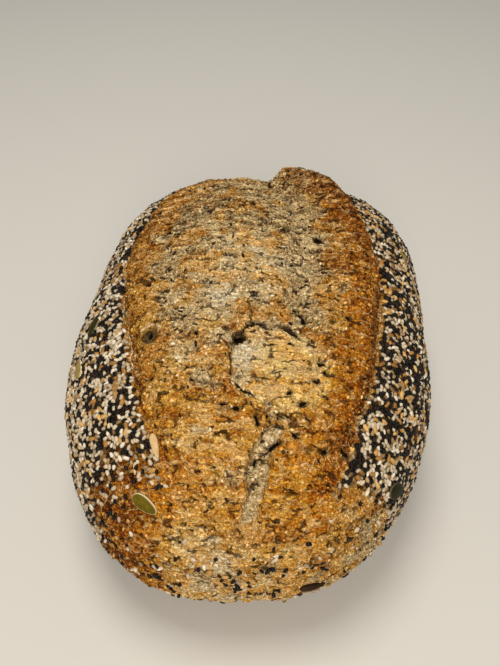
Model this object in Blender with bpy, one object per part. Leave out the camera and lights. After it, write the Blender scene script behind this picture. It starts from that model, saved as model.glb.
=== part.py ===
"""Seeded batard: a hand-shaped oval loaf, baked on its flat base, whose one long score has burst open.

The loaf is one solid. Its sides keep the skin that was rolled in seeds, its top is the burst crust that
swelled out of the score, and its larger seeds are fused to it. Metres, +Z up, +Y along the loaf, away
from the end that faces the viewer. The origin is the middle of the loaf's box, on the base plane.
"""

import math

import bmesh
import bpy
import numpy as np
from mathutils import Matrix, Vector, noise
from mathutils.bvhtree import BVHTree

# The risen loaf.
LOAF_WIDTH = 0.1606
LOAF_LENGTH = 0.2226
LOAF_HEIGHT = 0.103
BULGE_HEIGHT = 0.0335  # the loaf is widest here, and tucks in below
TUCK_DEPTH = 0.045  # the form would close this far below the bulge, but the base cuts it off first
PLAN_POWER = 2.7  # superellipse powers: of the outline from above, and of the rise from bulge to top
RISE_POWER = 2.45
SWELL = ((1, 0.011, 1.57), (3, 0.015, 0.43), (5, 0.018, 0.91))  # hand-shaped outline: lobes, depth, turn

# The burst: an egg-shaped opening in the seeded skin, broad at the back and pointed at the front.
BURST_HALF_WIDTH = 0.057
BURST_MIDDLE_Y = 0.012
BURST_FRONT_LENGTH = 0.125
BURST_BACK_LENGTH = 0.080
BURST_POWER = 1.8
BURST_OFFSET_X = -0.001
BURST_LEAN = -0.093  # the score runs slightly across the loaf: drift sideways for each metre along it
SKIN_DROP = 0.0032  # the skin lies this far below the burst crust at its edge
SKIN_FADE = 0.018  # and regains the smooth form over about this distance
SHOULDER = 0.010  # the burst crust rounds over to the skin within this distance
CREASE_DEPTH = 0.0010
CREASE_HALF_WIDTH = 0.0016
FRONT_SHARE = 0.30  # what is left of the step at the front, where the skin tore without lifting
FRONT_FROM_Y = -0.100
FRONT_TO_Y = -0.045

# The torn lip along the right of the score. It stands up as an ear at the back.
LIP_PATH = ((0.010, 0.073), (0.020, 0.068), (0.033, 0.057), (0.042, 0.036), (0.046, 0.010), (0.046, -0.020),
            (0.044, -0.050), (0.038, -0.073), (0.030, -0.090))
LIP_RISE = (0.0078, 0.0078, 0.0068, 0.0040, 0.0028, 0.0024, 0.0020, 0.0012, 0.0)
LIP_HALF_WIDTH = 0.0085

# A soft valley beside the lip, a plate of crust that tore late and lies lower, and the tear below it.
VALLEY_PATH = ((0.001, 0.078), (0.006, 0.062), (0.014, 0.044), (0.020, 0.024), (0.022, 0.004),
               (0.021, -0.014), (0.024, -0.034))
VALLEY_DEPTH = 0.0028
VALLEY_HALF_WIDTH = 0.0065
PLATE_MIDDLE = (0.0155, -0.0560)
PLATE_HALF_SIZE = (0.0185, 0.0175)
PLATE_POWER = 2.4
PLATE_DEPTH = 0.0024
PLATE_EDGE = 0.14  # share of the plate's half size in which it drops
TEAR_PATH = ((0.012, -0.071), (0.0175, -0.0755), (0.015, -0.0805), (0.012, -0.087), (0.009, -0.100),
             (0.0085, -0.106), (0.005, -0.111))
TEAR_DEPTH = 0.0026
TEAR_HALF_WIDTH = 0.0042

# Lumps of the baked surface.
LUMP_SIZE = 0.015
LUMP_HEIGHT = 0.0009

# How finely the form is worked out, and how many triangles then carry it.
SEGMENTS = 200
BURST_RINGS = 54
SKIN_RINGS = 24
TUCK_RINGS = 11
CORE_TRIANGLES = 4500
CUT_BELOW = 0.004  # the form is made this much too deep, and cut flat for the base
SHORTEST_EDGE = 0.0002

# Seeds: length, width and thickness.
SESAME = (0.0034, 0.0022, 0.0015)
FLAX = (0.0046, 0.0025, 0.0016)
SUNFLOWER = (0.0094, 0.0044, 0.0028)
PUMPKIN = (0.0134, 0.0076, 0.0028)
SEED_SINK = 0.35  # share of the thickness that is pressed into the dough
SEED_TAPER = 0.40  # how much narrower a seed's pointed end is
SEED_TRIES = 380
SEED_SPACING = 0.0072
LOWEST_SEED = 0.006
FLAX_EVERY = 3
SUNFLOWER_EVERY = 13
RANDOM_SEED = 11

# The large seeds that show best: where each one's two ends lie.
PUMPKIN_PLACES = (
    ((-0.0335, -0.0987, 0.0710), (-0.0240, -0.1049, 0.0681)),
    ((-0.0632, -0.0229, 0.0834), (-0.0651, -0.0308, 0.0805)),
    ((0.0604, -0.0798, 0.0575), (0.0670, -0.0735, 0.0480)),
    ((-0.0668, -0.0476, 0.0736), (-0.0688, -0.0403, 0.0734)),
    ((0.0674, 0.0329, 0.0779), (0.0650, 0.0420, 0.0780)),
    ((0.0330, 0.1060, 0.0500), (0.0420, 0.1030, 0.0450)),
    ((-0.0560, 0.0800, 0.0600), (-0.0480, 0.0860, 0.0580)),
)
SUNFLOWER_PLACES = (
    ((-0.0282, -0.0838, 0.0850), (-0.0259, -0.0902, 0.0817)),
    ((-0.0469, -0.0611, 0.0869), (-0.0453, -0.0672, 0.0855)),
    ((0.0657, -0.0482, 0.0750), (0.0697, -0.0435, 0.0713)),
    ((0.0720, -0.0532, 0.0609), (0.0717, -0.0558, 0.0591)),
    ((0.0304, -0.1109, 0.0305), (0.0390, -0.1064, 0.0288)),
)


def clear_scene():
    for obj in list(bpy.data.objects):
        bpy.data.objects.remove(obj)


def crust_material():
    """Browned, matt wheat crust."""
    material = bpy.data.materials.new("baked_crust")
    material.use_nodes = True
    shader = material.node_tree.nodes["Principled BSDF"]
    shader.inputs["Base Color"].default_value = (0.36, 0.19, 0.065, 1.0)
    shader.inputs["Roughness"].default_value = 0.72
    shader.inputs["Metallic"].default_value = 0.0
    return material


# ---------------------------------------------------------------- the risen form


def smooth_step(start, end, value):
    share = min(max((value - start) / (end - start), 0.0), 1.0)
    return share * share * (3.0 - 2.0 * share)


def superellipse(across, along, power):
    return (abs(across) ** power + abs(along) ** power) ** (1 / power)


def outline_radius(angle):
    """Distance from the middle to the widest outline, seen from above."""
    swell = 1.0 + sum(depth * math.cos(lobes * (angle - turn)) for lobes, depth, turn in SWELL)
    return swell / superellipse(math.cos(angle) * 2 / LOAF_WIDTH, math.sin(angle) * 2 / LOAF_LENGTH, PLAN_POWER)


def share_out(x, y):
    """0 in the middle of the loaf and 1 at its widest outline."""
    return math.hypot(x, y) / outline_radius(math.atan2(y, x))


def reach(z):
    """How far the form goes up or down from its bulge, on the side of a height."""
    return LOAF_HEIGHT - BULGE_HEIGHT if z > BULGE_HEIGHT else -TUCK_DEPTH


def top_height(x, y):
    """Height of the smooth form above a point."""
    inside = max(1.0 - share_out(x, y) ** RISE_POWER, 0.0)
    return BULGE_HEIGHT + (LOAF_HEIGHT - BULGE_HEIGHT) * inside ** (1 / RISE_POWER)


def share_at_height(z):
    """How far out the form comes at a height, as a share of its widest outline."""
    rise = min((z - BULGE_HEIGHT) / reach(z), 1.0)
    return (1.0 - rise**RISE_POWER) ** (1 / RISE_POWER)


def outward(x, y, z):
    """Unit normal of the smooth form at one of its points."""
    step = 1e-4
    rise = (z - BULGE_HEIGHT) / reach(z)
    slope_x = share_out(x + step, y) ** RISE_POWER - share_out(x - step, y) ** RISE_POWER
    slope_y = share_out(x, y + step) ** RISE_POWER - share_out(x, y - step) ** RISE_POWER
    slope_z = 2 * step * RISE_POWER * rise ** (RISE_POWER - 1) / reach(z)
    return Vector((slope_x, slope_y, slope_z)).normalized()


# ---------------------------------------------------------------- the burst and its tears


def burst_length(side):
    return BURST_BACK_LENGTH if side > 0 else BURST_FRONT_LENGTH


def burst_edge(angle):
    """Point of the skin's opening, seen from above, at an angle round the burst."""
    size = superellipse(math.cos(angle), math.sin(angle), BURST_POWER)
    y = BURST_MIDDLE_Y + burst_length(math.sin(angle)) * math.sin(angle) / size
    return BURST_OFFSET_X + BURST_LEAN * y + BURST_HALF_WIDTH * math.cos(angle) / size, y


def burst_level(x, y):
    """0 in the middle of the burst and 1 on its edge."""
    along = (y - BURST_MIDDLE_Y) / burst_length(y - BURST_MIDDLE_Y)
    return superellipse((x - BURST_OFFSET_X - BURST_LEAN * y) / BURST_HALF_WIDTH, along, BURST_POWER)


def inside_burst(x, y):
    """Distance in from the burst's edge, negative on the skin outside it."""
    step = 5e-4
    slope_x = (burst_level(x + step, y) - burst_level(x - step, y)) / (2 * step)
    slope_y = (burst_level(x, y + step) - burst_level(x, y - step)) / (2 * step)
    return (1.0 - burst_level(x, y)) / max(math.hypot(slope_x, slope_y), 1.0)


def nearest_on_path(x, y, path):
    """Distance to a path of straight runs, and how far along it that is, in runs."""
    best = (1.0, 0.0)
    for run, ((ax, ay), (bx, by)) in enumerate(zip(path, path[1:])):
        dx, dy = bx - ax, by - ay
        share = min(max(((x - ax) * dx + (y - ay) * dy) / (dx * dx + dy * dy), 0.0), 1.0)
        best = min(best, (math.hypot(x - ax - share * dx, y - ay - share * dy), run + share))
    return best


def groove(x, y, path, depth, half_width):
    away, _ = nearest_on_path(x, y, path)
    return -depth * math.exp(-((away / half_width) ** 2))


def lip(x, y):
    away, along = nearest_on_path(x, y, LIP_PATH)
    rise = np.interp(along, range(len(LIP_RISE)), LIP_RISE)
    return rise * math.exp(-((away / LIP_HALF_WIDTH) ** 2))


def plate(x, y):
    """The low plate: deepest under its back left edge, and level with the crust at its front right."""
    across = (x - PLATE_MIDDLE[0]) / PLATE_HALF_SIZE[0]
    along = (y - PLATE_MIDDLE[1]) / PLATE_HALF_SIZE[1]
    inside = 1.0 - smooth_step(1.0 - PLATE_EDGE, 1.0 + PLATE_EDGE, superellipse(across, along, PLATE_POWER))
    return -PLATE_DEPTH * inside * smooth_step(-1.3, 0.6, along - across)


def relief(x, y):
    """How far the crust stands out from the smooth form, from the burst's edge and tears."""
    inward = inside_burst(x, y)
    strength = FRONT_SHARE + (1.0 - FRONT_SHARE) * smooth_step(FRONT_FROM_Y, FRONT_TO_Y, y)
    if inward < 0:
        step = math.exp(inward / SKIN_FADE)
    else:
        step = (1.0 - smooth_step(0.0, SHOULDER, inward)) ** 2
    crease = math.exp(-((inward / CREASE_HALF_WIDTH) ** 2))
    height = -strength * (SKIN_DROP * step + CREASE_DEPTH * crease)
    height += lip(x, y) * smooth_step(-0.001, 0.005, inward)
    tears = groove(x, y, VALLEY_PATH, VALLEY_DEPTH, VALLEY_HALF_WIDTH)
    tears += groove(x, y, TEAR_PATH, TEAR_DEPTH, TEAR_HALF_WIDTH) + plate(x, y)
    return height + tears * smooth_step(0.0, SHOULDER, inward)


def lumps(point):
    """Unevenness of the baked surface."""
    return LUMP_HEIGHT * (noise.noise(point / LUMP_SIZE) + 0.5 * noise.noise(point * (2.1 / LUMP_SIZE)))


def crust_point(x, y, z):
    """A point of the smooth form, moved out or in to the real crust."""
    point = Vector((x, y, z))
    spread = 1.0 if z > BULGE_HEIGHT else 1.0 / share_out(x, y)
    return point + outward(x, y, z) * (relief(x * spread, y * spread) + lumps(point))


# ---------------------------------------------------------------- the loaf


def loaf_vertex(ring, angle):
    """Place of a vertex by its ring, counted down from the top, and its angle round the burst."""
    edge_x, edge_y = burst_edge(angle)
    if ring <= BURST_RINGS:
        share = ring / BURST_RINGS
        x = BURST_OFFSET_X + (edge_x - BURST_OFFSET_X) * share
        y = BURST_MIDDLE_Y + (edge_y - BURST_MIDDLE_Y) * share
        return crust_point(x, y, top_height(x, y))
    turn = math.atan2(edge_y, edge_x)
    if ring <= BURST_RINGS + SKIN_RINGS:
        left = 1.0 - (ring - BURST_RINGS) / SKIN_RINGS
        edge_rise = (top_height(edge_x, edge_y) - BULGE_HEIGHT) / (LOAF_HEIGHT - BULGE_HEIGHT)
        lean = math.asin(edge_rise ** (RISE_POWER / 2)) * left
        z = BULGE_HEIGHT + (LOAF_HEIGHT - BULGE_HEIGHT) * math.sin(lean) ** (2 / RISE_POWER)
    else:
        left = 1.0 - (ring - BURST_RINGS - SKIN_RINGS) / TUCK_RINGS
        z = (BULGE_HEIGHT + CUT_BELOW) * left - CUT_BELOW
    radius = outline_radius(turn) * share_at_height(z)
    return crust_point(radius * math.cos(turn), radius * math.sin(turn), z)


def shape_loaf(material):
    """The bare loaf: a sphere's rings and segments moved to their places, thinned out, and cut flat below."""
    rings = BURST_RINGS + SKIN_RINGS + TUCK_RINGS + 1
    ball = bmesh.new()
    bmesh.ops.create_uvsphere(ball, u_segments=SEGMENTS, v_segments=rings, radius=1.0)
    for vertex in ball.verts:
        ring = round(math.acos(min(max(vertex.co.z, -1.0), 1.0)) / math.pi * rings)
        if ring == rings:
            vertex.co = (0.0, 0.0, -CUT_BELOW)
        else:
            vertex.co = loaf_vertex(ring, math.atan2(vertex.co.y, vertex.co.x))
    bmesh.ops.triangulate(ball, faces=ball.faces[:])
    mesh = bpy.data.meshes.new("loaf")
    ball.to_mesh(mesh)
    ball.free()
    mesh.materials.append(material)
    loaf = bpy.data.objects.new("loaf", mesh)
    parts.objects.link(loaf)
    thin = loaf.modifiers.new("thin_out", "DECIMATE")
    thin.ratio = CORE_TRIANGLES / len(mesh.polygons)
    apply_modifiers(loaf)
    ball = bmesh.new()
    ball.from_mesh(loaf.data)
    everything = ball.verts[:] + ball.edges[:] + ball.faces[:]
    cut = bmesh.ops.bisect_plane(ball, geom=everything, plane_co=(0, 0, 0), plane_no=(0, 0, 1), clear_inner=True)
    rim = [edge for edge in cut["geom_cut"] if isinstance(edge, bmesh.types.BMEdge)]
    base = bmesh.ops.contextual_create(ball, geom=rim)
    bmesh.ops.poke(ball, faces=base["faces"])
    bmesh.ops.remove_doubles(ball, verts=ball.verts, dist=SHORTEST_EDGE)
    ball.to_mesh(loaf.data)
    ball.free()
    return loaf


def apply_modifiers(obj):
    bpy.context.view_layer.update()
    obj.data = bpy.data.meshes.new_from_object(obj.evaluated_get(bpy.context.evaluated_depsgraph_get()))
    obj.modifiers.clear()


# ---------------------------------------------------------------- seeds


def seed_mesh(name, size, segments, rings):
    """A flat teardrop along X: an ellipsoid that is fullest near one end and drawn in at the other."""
    ball = bmesh.new()
    bmesh.ops.create_uvsphere(ball, u_segments=segments, v_segments=rings, radius=0.5)
    bmesh.ops.rotate(ball, verts=ball.verts, matrix=Matrix.Rotation(math.pi / 2, 3, "Y"))
    for vertex in ball.verts:
        x, y, z = vertex.co
        narrow = 1.0 - SEED_TAPER * (x + 0.5)
        full_end = SEED_TAPER * (x * x - 0.25)
        vertex.co = ((x + full_end) * size[0], y * size[1] * narrow, z * size[2])
    mesh = bpy.data.meshes.new(name)
    ball.to_mesh(mesh)
    ball.free()
    return mesh


def press_in(mesh, size, place, normal, heading):
    """One seed lying along a heading on the crust, partly sunk in it."""
    side = normal.cross(heading).normalized()
    lie = Matrix((side.cross(normal), side, normal)).transposed().to_4x4()
    seed = bpy.data.objects.new(mesh.name, mesh)
    seed.matrix_world = Matrix.Translation(place + normal * size[2] * (0.5 - SEED_SINK)) @ lie
    seeds.objects.link(seed)


def seed_cover(place):
    """Chance that rolled-in seeds still cover a place: high on the sides, low at the front, none on the burst."""
    if place.z > BULGE_HEIGHT and inside_burst(place.x, place.y) > -0.002:
        return 0.0
    side = smooth_step(-0.098, -0.072, place.y)
    foot = 1.0 - smooth_step(0.014, 0.030, place.z)
    return max(side, 0.15, 0.6 * foot)


def roll_in_seeds(loaf):
    """The large seeds that show best, then the others, spread evenly down a golden-angle spiral."""
    kinds = {
        "sesame": (seed_mesh("sesame", SESAME, 4, 2), SESAME),
        "flax": (seed_mesh("flax", FLAX, 4, 3), FLAX),
        "sunflower": (seed_mesh("sunflower", SUNFLOWER, 6, 4), SUNFLOWER),
        "pumpkin": (seed_mesh("pumpkin", PUMPKIN, 8, 5), PUMPKIN),
    }
    crust = BVHTree.FromObject(loaf, bpy.context.evaluated_depsgraph_get())
    taken = []
    for kind, places in (("pumpkin", PUMPKIN_PLACES), ("sunflower", SUNFLOWER_PLACES)):
        for blunt_end, sharp_end in places:
            blunt, sharp = Vector(blunt_end), Vector(sharp_end)
            place, normal, _, _ = crust.find_nearest((blunt + sharp) / 2)
            press_in(*kinds[kind], place, normal, sharp - blunt)
            taken.append(place)
    draw = np.random.default_rng(RANDOM_SEED)
    middle = Vector((0.0, 0.0, BULGE_HEIGHT))
    stuck = 0
    for index in range(SEED_TRIES):
        up = 0.95 - 1.40 * (index + 0.5) / SEED_TRIES
        flat = math.sqrt(1.0 - up * up)
        turn = index * math.pi * (3.0 - math.sqrt(5.0))
        aim = Vector((flat * math.cos(turn), flat * math.sin(turn) * LOAF_LENGTH / LOAF_WIDTH, up)).normalized()
        chance = draw.random()
        heading = Vector(draw.normal(size=3))
        place, normal, _, _ = crust.ray_cast(middle + aim * LOAF_LENGTH, -aim)
        if place is None or place.z < LOWEST_SEED or chance > seed_cover(place):
            continue
        if min((place - other).length for other in taken) < SEED_SPACING:
            continue
        stuck += 1
        kind = "sunflower" if stuck % SUNFLOWER_EVERY == 0 else "flax" if stuck % FLAX_EVERY == 0 else "sesame"
        press_in(*kinds[kind], place, normal, heading)
        taken.append(place)


def fuse(loaf):
    """Joins the seeds to the loaf, and centres it on the origin."""
    union = loaf.modifiers.new("fuse_seeds", "BOOLEAN")
    union.operation = "UNION"
    union.operand_type = "COLLECTION"
    union.collection = seeds
    union.solver = "MANIFOLD"
    apply_modifiers(loaf)
    for seed in list(seeds.objects):
        bpy.data.objects.remove(seed)
    corners = np.array([vertex.co for vertex in loaf.data.vertices])
    low, high = corners.min(axis=0), corners.max(axis=0)
    loaf.data.transform(Matrix.Translation((-(low[0] + high[0]) / 2, -(low[1] + high[1]) / 2, -low[2])))
    loaf.data.set_sharp_from_angle(angle=math.radians(35))


clear_scene()
parts = bpy.data.collections.new("seeded_batard")
seeds = bpy.data.collections.new("seeds_to_fuse")
bpy.context.scene.collection.children.link(parts)
bpy.context.scene.collection.children.link(seeds)
bare_loaf = shape_loaf(crust_material())
roll_in_seeds(bare_loaf)
fuse(bare_loaf)
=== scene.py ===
"""A seeded batard, seen from above its narrow end: burst golden crust on top, sesame-coated sides."""
import math

import bmesh
import bpy
import numpy as np
from mathutils import Matrix, Vector, noise
from mathutils.bvhtree import BVHTree


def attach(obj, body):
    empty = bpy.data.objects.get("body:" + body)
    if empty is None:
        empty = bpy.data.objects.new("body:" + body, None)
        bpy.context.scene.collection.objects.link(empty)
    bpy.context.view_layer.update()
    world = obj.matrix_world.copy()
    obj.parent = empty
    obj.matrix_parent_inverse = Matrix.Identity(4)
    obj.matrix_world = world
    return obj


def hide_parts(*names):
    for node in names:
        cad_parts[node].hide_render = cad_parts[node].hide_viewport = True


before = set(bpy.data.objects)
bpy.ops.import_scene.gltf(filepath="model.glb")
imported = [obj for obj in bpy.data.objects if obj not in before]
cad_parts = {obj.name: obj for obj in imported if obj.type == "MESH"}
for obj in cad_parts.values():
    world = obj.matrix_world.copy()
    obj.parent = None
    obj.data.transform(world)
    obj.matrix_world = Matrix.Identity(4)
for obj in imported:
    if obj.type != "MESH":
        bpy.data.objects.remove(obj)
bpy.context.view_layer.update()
scene = bpy.context.scene

# ---------------------------------------------------------------- viewpoint
# Hand-held, close above the loaf and looking down on it from its narrow end.
VIEW_DISTANCE = 0.34
VIEW_ELEVATION = math.radians(46.0)
VIEW_YAW = 0.0969  # radians; the camera stands a little to the right of the loaf's middle line
VIEW_TARGET = Vector((-0.0001, 0.0026, 0.040))
FOCAL_SHARE = 716.0 / 666.0  # focal length over the long side of the frame
FRAME_SHIFT = (-0.0044, 0.0403)

away = Vector((math.sin(VIEW_YAW) * math.cos(VIEW_ELEVATION),
               -math.cos(VIEW_YAW) * math.cos(VIEW_ELEVATION), math.sin(VIEW_ELEVATION)))
lens = bpy.data.cameras.new("camera")
lens.sensor_fit = "VERTICAL"
lens.sensor_height = 36.0
lens.sensor_width = 36.0
lens.lens = lens.sensor_height * FOCAL_SHARE
lens.shift_x, lens.shift_y = FRAME_SHIFT
camera = bpy.data.objects.new("camera", lens)
camera.location = VIEW_TARGET + away * VIEW_DISTANCE
camera.rotation_euler = (-away).to_track_quat("-Z", "Y").to_euler()
scene.collection.objects.link(camera)
scene.camera = camera

# ---------------------------------------------------------------- floor and light
# A matt pale board under a soft lamp overhead and a broader one on the camera's side, in a pale room.
FLOOR_SIZE = 4.0
FLOOR_COLOUR = "cfccc5"
# Each lamp's name, place, size, power and colour.
LAMPS = (("overhead", (-0.10, 0.12, 1.10), 0.50, 6.2, "fffaf2"),
         ("camera_side", (0.10, -0.95, 0.75), 0.60, 9.5, "fff6ea"))
ROOM_COLOUR = "e4e4e2"
ROOM_STRENGTH = 0.34


def linear(hex_colour):
    """An sRGB hex colour as linear red, green, blue and alpha."""
    parts = [int(hex_colour[i:i + 2], 16) / 255 for i in (0, 2, 4)]
    return tuple(c / 12.92 if c <= 0.04045 else ((c + 0.055) / 1.055) ** 2.4 for c in parts) + (1.0,)


def new_material(name):
    """A material with its node tree and its shader node."""
    material = bpy.data.materials.new(name)
    material.use_nodes = True
    return material, material.node_tree, material.node_tree.nodes["Principled BSDF"]


ground = bmesh.new()
bmesh.ops.create_grid(ground, x_segments=1, y_segments=1, size=FLOOR_SIZE / 2)
floor = bpy.data.objects.new("floor", bpy.data.meshes.new("floor"))
ground.to_mesh(floor.data)
ground.free()
board, _, shader = new_material("painted_board")
shader.inputs["Base Color"].default_value = linear(FLOOR_COLOUR)
shader.inputs["Roughness"].default_value = 0.8
floor.data.materials.append(board)
scene.collection.objects.link(floor)

for name, place, size, power, colour in LAMPS:
    light = bpy.data.lights.new(name, "AREA")
    light.shape = "DISK"
    light.size = size
    light.energy = power
    light.color = linear(colour)[:3]
    lamp = bpy.data.objects.new(name, light)
    lamp.location = place
    lamp.rotation_euler = (-Vector(place)).to_track_quat("-Z", "Y").to_euler()
    scene.collection.objects.link(lamp)
room = bpy.data.worlds.new("room")
room.use_nodes = True
walls = room.node_tree.nodes["Background"]
walls.inputs["Color"].default_value = linear(ROOM_COLOUR)
walls.inputs["Strength"].default_value = ROOM_STRENGTH
scene.world = room
scene.view_settings.view_transform = "Standard"

# ---------------------------------------------------------------- the loaf
# Wheat dough with seeds in it, risen, rolled in seeds and scored once. In the oven the score burst open: the
# top is torn, crumbly, golden crust, and the sides keep the skin. One closed shell, flat underneath.
LOAF_WIDTH = 0.1606
LOAF_LENGTH = 0.2226
LOAF_HEIGHT = 0.103
BULGE_HEIGHT = 0.0335  # where it is widest
TUCK_DEPTH = 0.045  # from there down to where its sides would meet, had it no flat base
PLAN_POWER = 2.7  # of its superellipses: 2 is an ellipse, and more is squarer
RISE_POWER = 2.45
SWELL = ((1, 0.011, 1.57), (3, 0.015, 0.43), (5, 0.018, 0.91))  # uneven outline: lobes, depth and turn
SET_DOWN = np.array((-0.0001, 0.0026, 0.0))  # the form's own middle, in the frame

# The burst is a long oval that leans to the left towards the back. The skin lies lower along its edge, less
# so at the front. Here and below, a pair of limits says where something starts and where it is full.
BURST_HALF_WIDTH = 0.057
BURST_MIDDLE_Y = 0.012
BURST_FRONT_LENGTH = 0.125
BURST_BACK_LENGTH = 0.080
BURST_POWER = 1.8
BURST_OFFSET_X = -0.001
BURST_LEAN = -0.093
SKIN_DROP = 0.0032
SKIN_FADE = 0.018
SHOULDER = 0.010
CREASE_DEPTH = 0.0014
CREASE_HALF_WIDTH = 0.0012
FRONT_SHARE = 0.30
FRONT_Y = (-0.100, -0.045)

# The lip stands up along the right, highest at the back. A valley of open crumb runs beside it.
LIP_PATH = ((0.010, 0.073), (0.020, 0.068), (0.033, 0.057), (0.042, 0.036), (0.046, 0.010), (0.046, -0.020),
            (0.044, -0.050), (0.038, -0.073), (0.030, -0.090))
LIP_RISE = (0.0078, 0.0078, 0.0068, 0.0040, 0.0028, 0.0024, 0.0020, 0.0012, 0.0)
LIP_HALF_WIDTH = 0.0085
LIP_STARTS = (-0.001, 0.005)  # distances in from the burst's edge
VALLEY_PATH = ((0.001, 0.078), (0.006, 0.062), (0.014, 0.044), (0.020, 0.024), (0.022, 0.004),
               (0.021, -0.014), (0.024, -0.034))
VALLEY_DEPTH = 0.0028
VALLEY_HALF_WIDTH = 0.0065

# The plate tore late: it lies lower than the crust round it, with a crack at its edge and a tear below it.
PLATE_MIDDLE = (0.0155, -0.0560)
PLATE_HALF_SIZE = (0.0185, 0.0175)
PLATE_POWER = 2.4
PLATE_DEPTH = 0.0024
PLATE_EDGE = 0.06  # share of its half size
PLATE_SINKS = (-1.3, 0.6)  # from level at its front right to its full depth at its back left
TEAR_PATH = ((0.0123, -0.0714), (0.0175, -0.0755), (0.0150, -0.0805), (0.0120, -0.0870), (0.0105, -0.0940),
             (0.0092, -0.1000), (0.0085, -0.1060), (0.0050, -0.1110))
TEAR_DEPTH = 0.0034
TEAR_HALF_WIDTHS = (0.0020, 0.0050, 0.0042, 0.0042, 0.0036, 0.0034, 0.0032, 0.0024)
SIDE_TEAR_PATH = ((-0.041, 0.040), (-0.0385, 0.018), (-0.037, -0.003), (-0.034, -0.026))
SIDE_TEAR_DEPTH = 0.0012
SIDE_TEAR_HALF_WIDTH = 0.0036
SIDE_TEAR_BREAKS = (0.006, 8.1, 0.7, 1.2)  # size, draw, level and swing of the gaps along it
TORN_EDGE = 0.25  # share of a tear's half-width that its edge takes
CRACK_PATH = ((0.025, -0.043), (0.018, -0.039), (0.010, -0.038), (0.003, -0.038), (-0.001, -0.043),
              (-0.002, -0.050), (-0.003, -0.0565), (-0.0015, -0.062), (0.002, -0.067), (0.0076, -0.070))
CRACK_DEPTH = 0.0032
CRACK_HALF_WIDTHS = (0.0009, 0.0016, 0.0019, 0.0013, 0.0018, 0.0014, 0.0012, 0.0010, 0.0009, 0.0008)
CRACK_BREAKS = (0.0045, 5.3, 0.75, 1.1)
# Holes in the torn crumb: where each is, and its radius.
PITS = ((0.018, 0.043, 0.0016), (0.017, 0.022, 0.0014), (0.026, 0.018, 0.0016), (0.028, 0.015, 0.0013),
        (0.029, -0.004, 0.0016), (0.0235, -0.009, 0.0014), (0.016, -0.002, 0.0015), (0.020, -0.027, 0.0015),
        (0.022, -0.030, 0.0016), (0.024, -0.033, 0.0022), (0.0385, -0.029, 0.0017), (0.030, -0.034, 0.0012),
        (0.000, -0.044, 0.0024), (0.035, -0.043, 0.0013), (0.019, -0.0465, 0.0012), (0.030, -0.052, 0.0016),
        (0.029, -0.060, 0.0015), (0.032, -0.056, 0.0012), (0.025, -0.069, 0.0019), (0.020, -0.065, 0.0012),
        (0.018, -0.075, 0.0014), (0.013, -0.075, 0.0014), (0.009, -0.077, 0.0015), (0.001, -0.075, 0.0013),
        (-0.004, -0.073, 0.0015), (0.017, -0.084, 0.0018), (0.015, -0.0855, 0.0016), (0.023, -0.080, 0.0016),
        (0.0105, -0.0895, 0.0015), (0.034, -0.082, 0.0016), (0.041, -0.080, 0.0018),
        (0.0173, 0.0426, 0.0020), (0.0263, 0.0159, 0.0022), (0.0179, 0.0218, 0.0014),
        (0.0087, 0.0660, 0.0016), (0.0003, 0.0620, 0.0017), (-0.0397, 0.0188, 0.0018),
        (-0.0377, 0.0106, 0.0013), (-0.0312, -0.0158, 0.0012), (-0.0408, -0.0159, 0.0015),
        (-0.0271, -0.0325, 0.0013), (-0.0233, -0.0364, 0.0011), (-0.0229, -0.0438, 0.0016),
        (-0.0172, -0.0435, 0.0014), (-0.0435, -0.0358, 0.0013),
        (-0.0316, -0.0626, 0.0013), (-0.0158, -0.0635, 0.0012), (-0.0113, 0.0298, 0.0014),
        (-0.0090, -0.0004, 0.0015), (-0.0071, -0.0100, 0.0014))
PIT_DEPTH = 0.0024
# A round bubble of crust that has burst, with a hole in its floor.
BLISTER = (-0.0362, -0.0442)
BLISTER_RADIUS = 0.0040
BLISTER_FLOOR = 0.7  # share of its radius
BLISTER_RIM = 1.05
BLISTER_SMOOTH = (0.9, 1.4)
BLISTER_CRUMB = (0.8, 1.1)
BLISTER_CORE = (-0.0374, -0.0430)
BLISTER_CORE_SIZE = (0.0011, 0.0015)
BLISTER_DEPTH = 0.0018

# How thickly the rolled-in seeds lie. They thin out at the front, along a slanting line on either side.
LEFT_THIN_Y = (-0.104, -0.074)
LEFT_THIN_LEAN = 0.04
RIGHT_THIN_Y = (-0.113, -0.105)
RIGHT_THIN_LEAN = 0.46
LEAST_COVER = 0.04
FOOT_COVER = 0.32
FOOT_Z = (0.010, 0.026)
BARE_RIM = (-0.0019, -0.0007)  # distances in from the burst's edge
ABOVE_BASE = (0.0014, 0.0034)
# Which seeds lie there: less is more of the white, and more is more of the black.
MIXTURE_EVEN = 0.04
MIXTURE_LEFT = 1.15  # for each metre to the left or the right
MIXTURE_RIGHT = 0.8
WHITE_PATCH = ((0.052, -0.078), (0.018, 0.016))
BLACK_BACK_Y = (-0.020, 0.030)
BLACK_FOOT_Z = (0.012, 0.026)
# Clusters of black seeds along the foot at the front: across, and height.
FOOT_CLUSTERS = ((-0.0466, 0.049), (-0.0446, 0.041), (-0.0262, 0.041), (-0.0238, 0.033), (-0.0198, 0.029),
                 (-0.0175, 0.050), (-0.0126, 0.043), (-0.0074, 0.046), (0.0008, 0.043), (0.0006, 0.035),
                 (0.0059, 0.047), (0.0040, 0.040), (0.0058, 0.034), (0.0091, 0.037), (0.0168, 0.047),
                 (0.0212, 0.052), (0.0232, 0.045), (0.0201, 0.032), (0.0336, 0.044), (0.0375, 0.039))
CLUSTER_SIZE = 0.0021
CLUSTER_FRONT_Y = -0.085

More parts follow.
